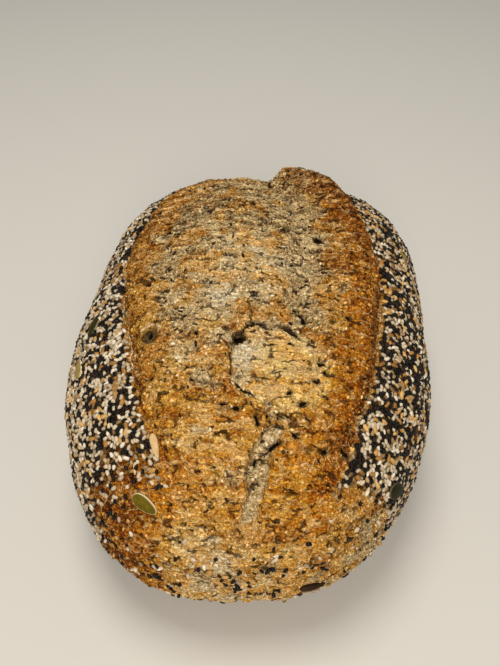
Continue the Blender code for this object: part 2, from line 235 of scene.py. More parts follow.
# How the oven coloured it. The crust is browner along the burst's edge and in a seam and a fold at the front.
PLAIN_BAKE = 0.42
BURST_EDGE = 0.0006
BROWN_SHOULDER = 0.009
BROWN_RIM = 0.0030
SEAM_INWARD = 0.0005
SEAM_HALF_WIDTH = 0.0016
SEAM_STARTS_Y = (-0.103, -0.095)
FOLD_FROM_CRACK = 0.0034
FOLD_HALF_WIDTH = 0.0018
FOLD_ENDS = (9.5, 7.0)  # in runs along the crack
SEAM_BREAKS = (0.0055, 2.2, 0.55, 1.3)
BACK_Y = (-0.030, 0.040)
# Smooth, even bands of crust inside its right and left edges.
BAND_Y = (-0.085, -0.060)
RIGHT_BAND = (0.015, 0.019)
LEFT_BAND = (0.009, 0.014)
BAND_WANDER = (0.005, 6.3, 0.002)  # size, draw and reach
BAND_ENDS_Y = (0.072, 0.050)
# Crumb shows most over the middle of the top, low on the front and on the plate's left.
PLAIN_CRUMB = -0.20
CRUMB_STRETCHES = ((0.0085, 1.3, 1.00), (0.0042, 2.9, 0.45))  # size, draw and strength
CRUMB_BELOW_Z = (0.044, 0.062)
PLATE_CRUST_X = (0.0, 0.012)
PLAIN_PALE = 0.30
WORN_MIDDLE = (-0.003, 0.010)
WORN_HALF_SIZE = (0.034, 0.072)
WORN_POWER = 3.0
WORN_EDGE = (0.75, 1.10)
# Patches: each has its middle and its half size. In the baked ones, how much darker it is comes first.
LIP_TOP = ((0.020, 0.066), (0.020, 0.014))
SMOOTH_LIP = ((0.024, 0.066), (0.018, 0.014))
OLIVE_LIP = ((0.020, 0.060), (0.024, 0.020))
BROWN_FOOT = ((-0.044, -0.098), (0.026, 0.022))
BROWN_FOOT_CORE = ((-0.044, -0.098), (0.024, 0.022))
BRIGHT_RIGHT = ((0.028, -0.092), (0.016, 0.024))
BRIGHT_LEFT = ((-0.010, -0.088), (0.020, 0.018))
PALE_MIDDLE = ((-0.008, -0.006), (0.026, 0.030))
PALE_FRONT = ((0.0, -0.100), (0.050, 0.014))
BAKED_PATCHES = ((0.12, (-0.032, 0.008), (0.018, 0.030)), (0.22, (0.0405, 0.042), (0.009, 0.022)),
                 (0.15, (0.027, -0.014), (0.012, 0.024)), (0.21, *LIP_TOP), (-0.06, *BRIGHT_RIGHT),
                 (-0.24, (-0.004, -0.004), (0.022, 0.024)), (-0.10, (-0.020, -0.098), (0.020, 0.024)),
                 (-0.18, (0.0, -0.111), (0.040, 0.008)))
GOLDEN_PATCHES = (((0.0187, -0.0892), (0.0045, 0.0045)), ((0.0155, -0.0970), (0.0035, 0.0040)),
                  ((0.0022, -0.1040), (0.0050, 0.0035)), ((0.0087, -0.1110), (0.0030, 0.0025)),
                  ((0.0300, -0.0945), (0.0090, 0.0070)), ((0.0055, -0.0740), (0.0040, 0.0022)),
                  ((0.0211, 0.0740), (0.0080, 0.0040)), ((0.0081, -0.0129), (0.0050, 0.0035)),
                  ((-0.0221, 0.0146), (0.0050, 0.0030)), ((-0.0228, -0.0009), (0.0040, 0.0030)),
                  ((-0.0011, -0.0011), (0.0050, 0.0028)), ((-0.0230, -0.0209), (0.0050, 0.0030)),
                  ((0.0147, -0.0326), (0.0040, 0.0035)), ((-0.0043, -0.0503), (0.0025, 0.0040)),
                  ((0.0160, -0.0500), (0.0070, 0.0060)), ((-0.0263, -0.0721), (0.0070, 0.0045)),
                  ((0.0072, -0.0812), (0.0034, 0.0032)))
CRUMB_PATCHES = (((-0.0386, 0.0153), (0.0050, 0.0040)), ((-0.0328, -0.0112), (0.0040, 0.0070)),
                 ((-0.0120, -0.0330), (0.0050, 0.0035)), ((-0.0253, -0.0363), (0.0060, 0.0055)),
                 ((0.0018, -0.0562), (0.0035, 0.0070)), ((0.0212, -0.0194), (0.0040, 0.0090)),
                 ((0.0096, 0.0219), (0.0060, 0.0050)), ((-0.0139, -0.0639), (0.0030, 0.0025)))
FLOUR_PATCHES = (((0.0068, -0.0074), (0.0024, 0.0015)), ((-0.0090, -0.0260), (0.0075, 0.0060)))

# Its colours, from barely baked to dark: of the crust, and of the crumb where the dough tore.
CRUST_COLOURS = ((0.0, "f4e2ba"), (0.12, "e8c888"), (0.28, "d8a950"), (0.42, "c48d37"), (0.55, "ad7223"),
                 (0.7, "8b5014"), (0.85, "633208"), (1.0, "3a1c05"))
CRUMB_COLOURS = ((0.0, "efdfbb"), (0.12, "e1ca9e"), (0.28, "cfb180"), (0.42, "b79763"), (0.55, "9a7a4a"),
                 (0.7, "765a34"), (0.85, "4a3823"), (1.0, "2a2015"))
REDDER = "f0a45a"  # this and the next multiply the crust's colour
BRIGHTER = "ffe9a6"
FLAKE_ON_CRUST = "efc07a"
FLAKE_ON_CRUMB = "e6cc96"
FLOUR_COLOUR = "eedcb4"
# Painted shade: the next five colours darken pores, the shaded sides of scrap edges, the gaps between crumbs,
# the hollows between flakes and the skin between the seeds.
PORE_SHADE = "2b1a0a"
SCRAP_SHADE = "35200f"
CRUMB_GAP_SHADE = "4f3318"
FLAKE_SHADE = "462b14"
SEED_SHADE = "3b2816"
# Hollows and edges: the value where each starts, the value where it is full, its strength and its colour. The
# dark ones are painted shade over darker crumb in bubbles, crevices, cracks, pits and the blister's floor;
# the pale torn edge is torn skin, partly a painted highlight.
HOLLOW_SHADE_AND_EDGE_MARKS = (("bubble", 0.50, 1.0, 0.85, "1e130a"), ("crevice", 0.0, 1.0, 0.85, "2c1e12"),
         ("crack", 0.30, 0.60, 0.90, "24180d"), ("pit", 0.26, 0.42, 0.60, "5e4a2c"),
         ("blister", 0.98, 0.70, 0.85, "4c422c"), ("pit", 0.52, 0.66, 0.97, "120b05"),
         ("torn_edge", 0.60, 0.35, 0.90, "e6d2aa"))

# The pale line of torn skin along the burst, partly a painted highlight on the step there.
LINE_INWARD = 0.0002
LINE_STARTS_Y = (-0.075, -0.045)
LINE_ENDS_Y = (0.055, 0.035)
LINE_FADE = 0.0010
LINE_WANDER = (0.0035, 9.1, 0.00035)  # size, draw and reach
LINE_THINNER_RIGHT = 0.00015
RIM_THINNER = 0.00010
RIM_THINNER_FRONT = 0.0006
RIM_FRONT_Y = (0.003, -0.002)

RAGGED = ((0.012, 0.0020), (0.004, 0.0009))  # how torn edges wander: over what size, and how far
LUMP_SIZE = 0.015
LUMP_HEIGHT = 0.0009
SUBDIVISIONS = 8
CROWDING = 0.35  # draws the mesh's points towards the top, where the relief is
MOST_FACES = 198000

# The crags that the oven broke the burst crust into.
SCRAP_SIZE = 0.0048
SCRAP_STRETCH = (0.62, 1.0, 1.0)  # scraps and wrinkles are longer across the loaf, as the dough stretched
WRINKLE_STRETCH = (0.30, 1.0, 1.0)
CRAGGY_COVER = (0.2, 0.6)  # the thicker the seeds lie, the smoother the skin under them
CRAGGY_Z = (0.0, 0.003)
FLAKY_COVER = (0.15, 0.5)
FLAKE_BREAKS = (0.006, 4.4, 0.60, 1.2)
FEWEST_FLAKES = 0.08
BAKED_IN_Z = (0.0015, 0.0035)
CRAGS = {"Scrap Height": 0.0006, "Flake Size": 0.0022, "Flake Height": 0.00065, "Wrinkle Size": 0.0028,
         "Wrinkle Height": 0.00055, "Crevice Size": 0.0060, "Crevice Depth": 0.0018, "Bubble Size": 0.0058,
         "Bubble Depth": 0.0016}


def smooth_step(start, end, value):
    share = np.clip((value - start) / (end - start), 0.0, 1.0)
    return share * share * (3.0 - 2.0 * share)


def superellipse(across, along, power):
    return (np.abs(across) ** power + np.abs(along) ** power) ** (1 / power)


def share_out(x, y):
    """0 in the middle of the loaf and 1 at its widest outline."""
    angle = np.arctan2(y, x)
    swell = 1.0 + sum(depth * np.cos(lobes * (angle - turn)) for lobes, depth, turn in SWELL)
    return superellipse(x * 2 / LOAF_WIDTH, y * 2 / LOAF_LENGTH, PLAN_POWER) / swell


def outward(points):
    """Unit normals of the smooth form."""
    step = 1e-4
    x, y, z = points.T
    reach = np.where(z > BULGE_HEIGHT, LOAF_HEIGHT - BULGE_HEIGHT, -TUCK_DEPTH)
    rise = (z - BULGE_HEIGHT) / reach
    slopes = np.stack((share_out(x + step, y) ** RISE_POWER - share_out(x - step, y) ** RISE_POWER,
                       share_out(x, y + step) ** RISE_POWER - share_out(x, y - step) ** RISE_POWER,
                       2 * step * RISE_POWER * rise ** (RISE_POWER - 1) / reach), axis=1)
    return slopes / np.linalg.norm(slopes, axis=1, keepdims=True)


def burst_level(x, y):
    length = np.where(y > BURST_MIDDLE_Y, BURST_BACK_LENGTH, BURST_FRONT_LENGTH)
    across = (x - BURST_OFFSET_X - BURST_LEAN * y) / BURST_HALF_WIDTH
    return superellipse(across, (y - BURST_MIDDLE_Y) / length, BURST_POWER)


def inside_burst(x, y):
    """Distance in from the burst's edge, negative on the skin outside it."""
    step = 5e-4
    slope_x = (burst_level(x + step, y) - burst_level(x - step, y)) / (2 * step)
    slope_y = (burst_level(x, y + step) - burst_level(x, y - step)) / (2 * step)
    return (1.0 - burst_level(x, y)) / np.maximum(np.hypot(slope_x, slope_y), 1.0)


def nearest_on_path(x, y, path):
    """Distance to a path of straight runs, and how far along it that is, in runs."""
    best = np.full(x.shape, 1.0)
    along = np.zeros(x.shape)
    for run, ((ax, ay), (bx, by)) in enumerate(zip(path, path[1:])):
        dx, dy = bx - ax, by - ay
        share = np.clip(((x - ax) * dx + (y - ay) * dy) / (dx * dx + dy * dy), 0.0, 1.0)
        apart = np.hypot(x - ax - share * dx, y - ay - share * dy)
        along = np.where(apart < best, run + share, along)
        best = np.minimum(best, apart)
    return best, along


def ridge(away, half_width):
    """1 on a line, falling off to its sides."""
    return np.exp(-((away / half_width) ** 2))


def within(x, y, path, half_widths):
    """1 along a path up to its half-widths, 0 beyond them."""
    away, along = nearest_on_path(x, y, path)
    reach = away / np.interp(along, range(len(half_widths)), half_widths)
    return 1.0 - smooth_step(1.0 - TORN_EDGE, 1.0 + TORN_EDGE, reach)


def spot(x, y, middle, half_size):
    """1 in the middle of a patch, falling off around it."""
    return np.exp(-(((x - middle[0]) / half_size[0]) ** 2) - ((y - middle[1]) / half_size[1]) ** 2)


def spots(x, y, places):
    """Several patches together, up to 1."""
    return np.clip(sum(spot(x, y, *place) for place in places), 0.0, 1.0)


def field(points, size, draw=0.0):
    """Smooth random values of about -1 to 1, that change over a size. Another draw gives others."""
    shifted = points / size + draw
    return np.array([noise.noise(p) for p in shifted.tolist()])


def broken_up(points, breaks, least=0.0):
    """A share of up to 1 that comes and goes, given the size, draw, level and swing of its gaps."""
    size, draw, level, swing = breaks
    return np.clip(level + swing * field(points, size, draw), least, 1.0)


def round_form():
    """Directions from a finely divided ball, carried out to the smooth form and down to its flat base."""
    ball = bmesh.new()
    bmesh.ops.create_icosphere(ball, subdivisions=SUBDIVISIONS, radius=1.0)
    mesh = bpy.data.meshes.new("loaf_crust")
    ball.to_mesh(mesh)
    ball.free()
    rays = np.empty(len(mesh.vertices) * 3)
    mesh.vertices.foreach_get("co", rays)
    rays = rays.reshape(-1, 3)
    down = np.arccos(np.clip(rays[:, 2], -1.0, 1.0))
    crowded = down - CROWDING * np.sin(down)
    rays[:, :2] *= (np.sin(crowded) / np.maximum(np.sin(down), 1e-9))[:, None]
    rays[:, 2] = np.cos(crowded)
    rays *= (LOAF_WIDTH / 2, LOAF_LENGTH / 2, LOAF_HEIGHT - BULGE_HEIGHT)
    x, y, z = rays.T
    reach = np.where(z > 0, LOAF_HEIGHT - BULGE_HEIGHT, TUCK_DEPTH)
    stretch = (share_out(x, y) ** RISE_POWER + np.abs(z / reach) ** RISE_POWER) ** (-1 / RISE_POWER)
    to_base = np.where(z < 0, BULGE_HEIGHT / np.maximum(-z, 1e-9), 1e9)
    points = rays * np.minimum(stretch, to_base)[:, None]
    points[:, 2] += BULGE_HEIGHT
    return mesh, points


def shape_crust():
    """The loaf with its tears, lip and lumps, and the values along it that its colours and seeds read."""
    mesh, points = round_form()
    flat = points[:, 2] < 1e-6
    normals = outward(points)
    x, y, z = points.T
    # Under the bulge, a point takes its place in plan from the outline above it.
    spread = np.where(z > BULGE_HEIGHT, 1.0, 1.0 / np.maximum(share_out(x, y), 0.3))
    x, y = x * spread, y * spread
    for size, reach in RAGGED:
        x = x + reach * field(points, size, 3.1)
        y = y + reach * field(points, size, 7.7)
    inward = inside_burst(x, y)
    strength = FRONT_SHARE + (1.0 - FRONT_SHARE) * smooth_step(*FRONT_Y, y)
    step = np.where(inward < 0, np.exp(np.minimum(inward, 0.0) / SKIN_FADE),
                    (1.0 - smooth_step(0.0, SHOULDER, inward)) ** 2)
    crease = ridge(inward, CREASE_HALF_WIDTH)
    lip_away, lip_along = nearest_on_path(x, y, LIP_PATH)
    lip_rise = np.interp(lip_along, range(len(LIP_RISE)), LIP_RISE)
    lip = ridge(lip_away, LIP_HALF_WIDTH)
    on_top = smooth_step(0.0, SHOULDER, inward)
    valley = ridge(nearest_on_path(x, y, VALLEY_PATH)[0], VALLEY_HALF_WIDTH) * on_top
    tear = within(x, y, TEAR_PATH, TEAR_HALF_WIDTHS) * on_top
    side_tear = ridge(nearest_on_path(x, y, SIDE_TEAR_PATH)[0], SIDE_TEAR_HALF_WIDTH) * on_top
    side_tear = side_tear * broken_up(points, SIDE_TEAR_BREAKS)
    crack_away, crack_along = nearest_on_path(x, y, CRACK_PATH)
    crack_width = np.interp(crack_along, range(len(CRACK_HALF_WIDTHS)), CRACK_HALF_WIDTHS)
    crack = ridge(crack_away, crack_width) * on_top
    crack = crack * broken_up(points, CRACK_BREAKS)
    pit = sum(spot(x, y, (middle_x, middle_y), (radius, radius)) for middle_x, middle_y, radius in PITS)
    pit = np.maximum(pit, spot(x, y, BLISTER_CORE, BLISTER_CORE_SIZE))
    blister = np.hypot(x - BLISTER[0], y - BLISTER[1]) / BLISTER_RADIUS
    across = (x - PLATE_MIDDLE[0]) / PLATE_HALF_SIZE[0]
    along = (y - PLATE_MIDDLE[1]) / PLATE_HALF_SIZE[1]
    plate = 1.0 - smooth_step(1.0 - PLATE_EDGE, 1.0 + PLATE_EDGE, superellipse(across, along, PLATE_POWER))
    plate_deep = smooth_step(*PLATE_SINKS, along - across)
    height = -strength * (SKIN_DROP * step + CREASE_DEPTH * crease)
    height += lip_rise * lip * smooth_step(*LIP_STARTS, inward)
    height -= (VALLEY_DEPTH * valley + TEAR_DEPTH * tear + CRACK_DEPTH * crack
               + PIT_DEPTH * np.clip(pit, 0.0, 1.0))
    height -= BLISTER_DEPTH * (1.0 - smooth_step(BLISTER_FLOOR, 1.0, blister))
    height -= PLATE_DEPTH * plate * plate_deep + SIDE_TEAR_DEPTH * side_tear
    height += LUMP_HEIGHT * (field(points, LUMP_SIZE) + 0.5 * field(points, LUMP_SIZE / 2.1))
    height[flat] = 0.0
    points = points + normals * height[:, None]
    points[:, 2] = np.maximum(points[:, 2], 0.0)
    points[flat, 2] = 0.0
    mesh.vertices.foreach_set("co", (points + SET_DOWN).ravel())

    # How it baked: browner along the burst's edge, in a seam and a fold at the front, and towards the back.
    burst = smooth_step(-BURST_EDGE, BURST_EDGE, inward)
    shoulder = ridge(np.maximum(inward, 0.0), BROWN_SHOULDER) * burst
    rim = ridge(inward, BROWN_RIM) * strength
    back = smooth_step(*BACK_Y, y)
    front = 1.0 - smooth_step(*FRONT_Y, y)
    broken = broken_up(points, SEAM_BREAKS)
    seam = ridge(inward - SEAM_INWARD, SEAM_HALF_WIDTH) * front * smooth_step(*SEAM_STARTS_Y, y) * broken
    fold = ridge(crack_away - FOLD_FROM_CRACK, FOLD_HALF_WIDTH) * (1.0 - plate)
    fold = fold * smooth_step(*FOLD_ENDS, crack_along) * broken
    golden = spots(x, y, GOLDEN_PATCHES) * (1.0 - tear)
    size, draw, reach = BAND_WANDER
    inner = inward + reach * field(points, size, draw)
    along_side = smooth_step(*BAND_Y, y)
    right_band = (x > 0) * (1.0 - smooth_step(*RIGHT_BAND, inner)) * burst * along_side
    left_band = (x < 0) * (1.0 - smooth_step(*LEFT_BAND, inner)) * burst * along_side
    even = np.clip(right_band + left_band, 0.0, 1.0) * smooth_step(*BAND_ENDS_Y, y)
    even = np.maximum(even, 0.5 * spot(x, y, *SMOOTH_LIP))
    even = np.maximum(even, 0.5 * golden)
    brown_foot = spot(x, y, *BROWN_FOOT) * (1.0 - burst)
    bake = PLAIN_BAKE + 0.15 * shoulder * strength + 0.13 * lip * burst + 0.14 * rim * burst
    bake += 0.13 * back * burst * (1.0 - lip) + 0.38 * spot(x, y, *BROWN_FOOT_CORE) * (1.0 - burst)
    bake += 0.20 * seam + 0.16 * fold - 0.04 * tear - 0.36 * plate - 0.15 * valley
    bake -= 0.01 * right_band + 0.04 * left_band + 0.05 * golden
    bake += sum(darker * spot(x, y, *place) for darker, *place in BAKED_PATCHES)
    glow = 0.80 * right_band + (spot(x, y, *BRIGHT_RIGHT) + 0.60 * spot(x, y, *BRIGHT_LEFT)) * (1.0 - tear)
    glow += 1.60 * brown_foot + 0.50 * golden + 0.50 * plate * smooth_step(*PLATE_CRUST_X, x)
    rust = np.clip(0.35 * seam + 0.40 * fold, 0.0, 1.0) - 0.35 * spot(x, y, *OLIVE_LIP)

    # Where crumb shows, where its flakes are palest, and where it is open or floury.
    open_crumb = np.clip(valley + tear + crack + side_tear, 0.0, 1.0) * (1.0 - 0.8 * even)
    worn = superellipse((x - WORN_MIDDLE[0]) / WORN_HALF_SIZE[0], (y - WORN_MIDDLE[1]) / WORN_HALF_SIZE[1],
                        WORN_POWER)
    worn = (1.0 - smooth_step(*WORN_EDGE, worn)) * burst
    crumb = PLAIN_CRUMB + 0.42 * worn + 0.80 * open_crumb - 0.40 * brown_foot
    crumb += 0.40 * (1.0 - smooth_step(*CRUMB_BELOW_Z, z)) * (1.0 - brown_foot)
    crumb += 0.75 * plate * (1.0 - smooth_step(*PLATE_CRUST_X, x))
    crumb += 0.35 * (1.0 - smooth_step(*BLISTER_CRUMB, blister))
    crumb += 0.50 * spots(x, y, CRUMB_PATCHES) - 0.25 * golden
    crumb -= 0.20 * shoulder + 0.90 * even + 0.30 * glow + 0.42 * plate
    crumb += sum(share * field(points, size, draw) for size, draw, share in CRUMB_STRETCHES)
    tint = 0.08 * worn * (1.0 - 0.6 * lip) + 0.50 * spot(x, y, *LIP_TOP)
    pale = PLAIN_PALE + 0.48 * spot(x, y, *PALE_MIDDLE) + 0.25 * spot(x, y, *PALE_FRONT)
    pale += 0.25 * back - 0.25 * shoulder - 0.50 * spot(x, y, *BROWN_FOOT) - 0.40 * even
    flour = spots(x, y, FLOUR_PATCHES)

    # The pale torn line where the skin ends, which fades at both ends, and the thin rim of the burst bubble,
    # thinner
    # at its front: pale torn skin, partly a painted highlight.
    line = smooth_step(*LINE_STARTS_Y, y) * smooth_step(*LINE_ENDS_Y, y)
    edge = np.abs(inward - LINE_INWARD) + LINE_FADE * (1.0 - line)
    size, draw, reach = LINE_WANDER
    edge += reach * field(points, size, draw) + np.where(x < 0, 0.0, LINE_THINNER_RIGHT)
    ring = np.abs(blister - BLISTER_RIM) * BLISTER_RADIUS + RIM_THINNER
    ring += RIM_THINNER_FRONT * smooth_step(*RIM_FRONT_Y, y - BLISTER[1])
    edge = np.minimum(edge, ring)

    # Where seeds lie, where the crust is craggy, and where flakes and baked-in seeds stand on it.
    cover, mixture = seed_cover(x, y, z, inward)
    rough = np.where(inward > 0, 1.0, 0.15 + 0.85 * (1.0 - smooth_step(*CRAGGY_COVER, cover)))
    rough *= smooth_step(*CRAGGY_Z, z) * smooth_step(*BLISTER_SMOOTH, blister) * (1.0 - 0.35 * plate)
    flaky = rough * (1.0 - 0.8 * smooth_step(*FLAKY_COVER, cover))
    flaky = flaky * broken_up(points, FLAKE_BREAKS, FEWEST_FLAKES)
    baked_in = (burst * 0.8 + 0.2 * flaky) * smooth_step(*BAKED_IN_Z, z)
    for name, values in (("bake", bake), ("crumb", crumb), ("tint", tint), ("pale", pale), ("rough", rough),
                         ("seed_cover", cover), ("seed_mixture", mixture), ("torn_edge", edge * 1000),
                         ("blister", blister), ("flour", flour), ("open_crumb", open_crumb), ("pit", pit),
                         ("rust", rust), ("flaky", flaky), ("glow", glow), ("even", even),
                         ("baked_in", baked_in), ("crack", np.maximum(crack, 0.25 * crease * strength))):
        store = mesh.attributes.new(name, "FLOAT", "POINT")
        store.data.foreach_set("value", values.astype(np.float32))
    return mesh


def seed_cover(x, y, z, inward):
    """How thickly the rolled-in seeds still lie, and how much of them is black rather than white."""
    side = np.where(x < 0, smooth_step(*LEFT_THIN_Y, y - LEFT_THIN_LEAN * x),
                    smooth_step(*RIGHT_THIN_Y, y - RIGHT_THIN_LEAN * x))
    foot = FOOT_COVER * (1.0 - smooth_step(*FOOT_Z, z))
    off_top = 1.0 - smooth_step(*BARE_RIM, inward)
    above_base = smooth_step(*ABOVE_BASE, z)
    cover = np.maximum(np.maximum(side, LEAST_COVER), foot) * off_top * above_base
    mixture = np.where(x < 0, MIXTURE_LEFT, MIXTURE_RIGHT) * x - 0.16 * spot(x, y, *WHITE_PATCH)
    mixture += MIXTURE_EVEN + np.where(x < 0, 0.06 * smooth_step(*BLACK_BACK_Y, y), 0.01)
    mixture += 0.20 * (1.0 - side) * (1.0 - smooth_step(*BLACK_FOOT_Z, z))
    for middle_x, middle_z in FOOT_CLUSTERS:
        cluster = spot(x, z, (middle_x, middle_z), (CLUSTER_SIZE, CLUSTER_SIZE)) * (y < CLUSTER_FRONT_Y)
        cover = np.maximum(cover, 0.6 * cluster)
        mixture = mixture + 0.45 * cluster
    return cover, mixture


def node(tree, kind, inputs=None, give=0, stops=None, **settings):
    """Adds a node with its settings and gives back one of its outputs. An input is set to a value, or linked
    from a socket. Stops are a colour ramp's places and sRGB colours."""
    new = tree.nodes.new(kind)
    for name, value in settings.items():
        setattr(new, name, value)
    for place, value in (inputs or {}).items():
        if isinstance(value, bpy.types.NodeSocket):
            tree.links.new(value, new.inputs[place])
        else:
            new.inputs[place].default_value = value
    if stops:
        ends = new.color_ramp.elements
        marks = [ends[0], *(ends.new(place) for place, _ in stops[1:-1]), ends[-1]]
        for mark, (place, colour) in zip(marks, stops):
            mark.position = place
            mark.color = linear(colour)
    return new.outputs[give] if len(new.outputs) else new


def torn_patches(tree, place):
    """The scraps that stretched crust breaks into: random values for each, and the distance to its edge."""
    flat = node(tree, "ShaderNodeVectorMath", {0: place, 1: SCRAP_STRETCH}, operation="MULTIPLY")
    bend = node(tree, "ShaderNodeTexNoise", {"Vector": place, "Scale": 1 / SCRAP_SIZE, "Detail": 3.0,
                                             "Roughness": 0.6}, "Color")
    bend = node(tree, "ShaderNodeVectorMath", {0: bend, "Scale": SCRAP_SIZE}, operation="SCALE")
    bent = node(tree, "ShaderNodeVectorMath", {0: flat, 1: bend}, operation="ADD")
    own = node(tree, "ShaderNodeTexVoronoi", {"Vector": bent, "Scale": 1 / SCRAP_SIZE}, "Color")
    edge = node(tree, "ShaderNodeTexVoronoi", {"Vector": bent, "Scale": 1 / SCRAP_SIZE},
                feature="DISTANCE_TO_EDGE")
    return own, edge


def crag_tree():
    """Crust broken up by the oven: flaky ridges, wrinkles and crevices across the burst, and bubbles."""
    tree = bpy.data.node_groups.new("crust_crags", "GeometryNodeTree")
    tree.interface.new_socket("Geometry", in_out="INPUT", socket_type="NodeSocketGeometry")
    for name in CRAGS:
        tree.interface.new_socket(name, in_out="INPUT", socket_type="NodeSocketFloat")
    tree.interface.new_socket("Geometry", in_out="OUTPUT", socket_type="NodeSocketGeometry")
    given = tree.nodes.new("NodeGroupInput").outputs
    place = node(tree, "GeometryNodeInputPosition")
    normal = node(tree, "GeometryNodeInputNormal")
    rough = node(tree, "GeometryNodeInputNamedAttribute", {"Name": "rough"}, data_type="FLOAT")

    # Sharp little ridges, where flakes of crust meet.
    fine = node(tree, "ShaderNodeMath", {0: 1.0, 1: given["Flake Size"]}, operation="DIVIDE")
    flakes = node(tree, "ShaderNodeTexNoise", {"Vector": place, "Scale": fine, "Detail": 3.0,
                                               "Roughness": 0.6})
    flakes = node(tree, "ShaderNodeMath", {0: flakes, 1: 2.0, 2: -1.0}, operation="MULTIPLY_ADD")
    flakes = node(tree, "ShaderNodeMath", {0: flakes}, operation="ABSOLUTE")
    flakes = node(tree, "ShaderNodeMath", {0: 0.35, 1: flakes}, operation="SUBTRACT")
    flakes = node(tree, "ShaderNodeMath", {0: flakes, 1: 3.0}, operation="MULTIPLY")

    # Wrinkles, and in patches of 6 mm narrow crevices, both drawn out across the burst.
    across = node(tree, "ShaderNodeVectorMath", {0: place, 1: WRINKLE_STRETCH}, operation="MULTIPLY")
    coarse = node(tree, "ShaderNodeMath", {0: 1.0, 1: given["Wrinkle Size"]}, operation="DIVIDE")
    wrinkles = node(tree, "ShaderNodeTexNoise", {"Vector": across, "Scale": coarse, "Detail": 2.0,
                                                 "Roughness": 0.5, "Distortion": 0.4})
    wrinkles = node(tree, "ShaderNodeMath", {0: wrinkles, 1: 4.0, 2: -2.0}, operation="MULTIPLY_ADD")

    wide = node(tree, "ShaderNodeMath", {0: 1.0, 1: given["Crevice Size"]}, operation="DIVIDE")
    crevices = node(tree, "ShaderNodeTexNoise", {"Vector": across, "Scale": wide, "Detail": 3.0,
                                                 "Roughness": 0.55, "Distortion": 0.6})
    crevices = node(tree, "ShaderNodeMath", {0: crevices, 1: 0.5}, operation="SUBTRACT")
    crevices = node(tree, "ShaderNodeMath", {0: crevices}, operation="ABSOLUTE")
    crevices = node(tree, "ShaderNodeMapRange", {"Value": crevices, "From Min": 0.028, "From Max": 0.0,
                                                 "To Min": 0.0, "To Max": 1.0})
    here = node(tree, "ShaderNodeTexNoise", {"Vector": place, "Scale": 1000 / 6, "Detail": 1.0})
    here = node(tree, "ShaderNodeMapRange", {"Value": here, "From Min": 0.48, "From Max": 0.60,
                                             "To Min": 0.0, "To Max": 1.0})
    crevices = node(tree, "ShaderNodeMath", {0: crevices, 1: here}, operation="MULTIPLY")

    # Burst bubbles: a few anywhere, and more of them in the open crumb.
    cells = node(tree, "ShaderNodeMath", {0: 1.0, 1: given["Bubble Size"]}, operation="DIVIDE")
    warp = node(tree, "ShaderNodeTexNoise", {"Vector": place, "Scale": cells, "Detail": 1.0}, "Color")
    warp = node(tree, "ShaderNodeVectorMath", {0: warp, "Scale": 0.004}, operation="SCALE")
    moved = node(tree, "ShaderNodeVectorMath", {0: place, 1: warp}, operation="ADD")
    bubbles = node(tree, "ShaderNodeTexVoronoi", {"Vector": moved, "Scale": cells}).node.outputs
    open_crumb = node(tree, "GeometryNodeInputNamedAttribute", {"Name": "open_crumb"}, data_type="FLOAT")
    open_ones = node(tree, "ShaderNodeSeparateXYZ", {0: bubbles["Color"]})
    open_ones = node(tree, "ShaderNodeMath", {0: open_crumb, 1: 0.45, 2: open_ones}, operation="MULTIPLY_ADD")
    size = node(tree, "ShaderNodeMapRange", {"Value": open_ones, "From Min": 0.45, "From Max": 1.0,
                                             "To Min": 0.0, "To Max": 0.31})
    hollow = node(tree, "ShaderNodeMath", {0: size, 1: bubbles["Distance"]}, operation="SUBTRACT")
    hollow = node(tree, "ShaderNodeMapRange", {"Value": hollow, "From Min": 0.0, "From Max": 0.16,
                                               "To Min": 0.0, "To Max": 1.0}, interpolation_type="SMOOTHSTEP")

    # Scraps of torn crust: some stand up, some have sunk, and all lie lower at their edges.
    own, edge = torn_patches(tree, place)
    scrap = node(tree, "ShaderNodeSeparateXYZ", {0: own}, "Z")
    scrap = node(tree, "ShaderNodeMath", {0: scrap, 1: 0.5}, operation="SUBTRACT")
    raised = node(tree, "ShaderNodeMapRange", {"Value": edge, "From Min": 0.0, "From Max": 0.14,
                                               "To Min": -0.3, "To Max": 1.0})
    scrap = node(tree, "ShaderNodeMath", {0: scrap, 1: raised}, operation="MULTIPLY")

    # All of them move the crust along its normal. Its finish reads where it grew, and how far.
    rise = node(tree, "ShaderNodeMath", {0: flakes, 1: given["Flake Height"]}, operation="MULTIPLY")
    rise = node(tree, "ShaderNodeMath", {0: scrap, 1: given["Scrap Height"], 2: rise},
                operation="MULTIPLY_ADD")
    folds = node(tree, "ShaderNodeMath", {0: wrinkles, 1: given["Wrinkle Height"]}, operation="MULTIPLY")
    sunk = node(tree, "ShaderNodeMath", {0: hollow, 1: given["Bubble Depth"]}, operation="MULTIPLY")
    sunk = node(tree, "ShaderNodeMath", {0: crevices, 1: given["Crevice Depth"], 2: sunk},
                operation="MULTIPLY_ADD")
    rise = node(tree, "ShaderNodeMath", {0: rise, 1: folds}, operation="ADD")
    rise = node(tree, "ShaderNodeMath", {0: rise, 1: sunk}, operation="SUBTRACT")
    rise = node(tree, "ShaderNodeMath", {0: rise, 1: rough}, operation="MULTIPLY")
    offset = node(tree, "ShaderNodeVectorMath", {0: normal, "Scale": rise}, operation="SCALE")
    kept = node(tree, "GeometryNodeStoreNamedAttribute",
                {"Geometry": given["Geometry"], "Name": "grown_at", "Value": place},
                data_type="FLOAT_VECTOR", domain="POINT")
    for name, value in (("flake", flakes), ("crevice", crevices), ("bubble", hollow)):
        value = node(tree, "ShaderNodeMath", {0: value, 1: rough}, operation="MULTIPLY")
        kept = node(tree, "GeometryNodeStoreNamedAttribute", {"Geometry": kept, "Name": name, "Value": value},
                    data_type="FLOAT", domain="POINT")
    shaped = node(tree, "GeometryNodeSetPosition", {"Geometry": kept, "Offset": offset})
    node(tree, "NodeGroupOutput", {"Geometry": shaped})
    return tree


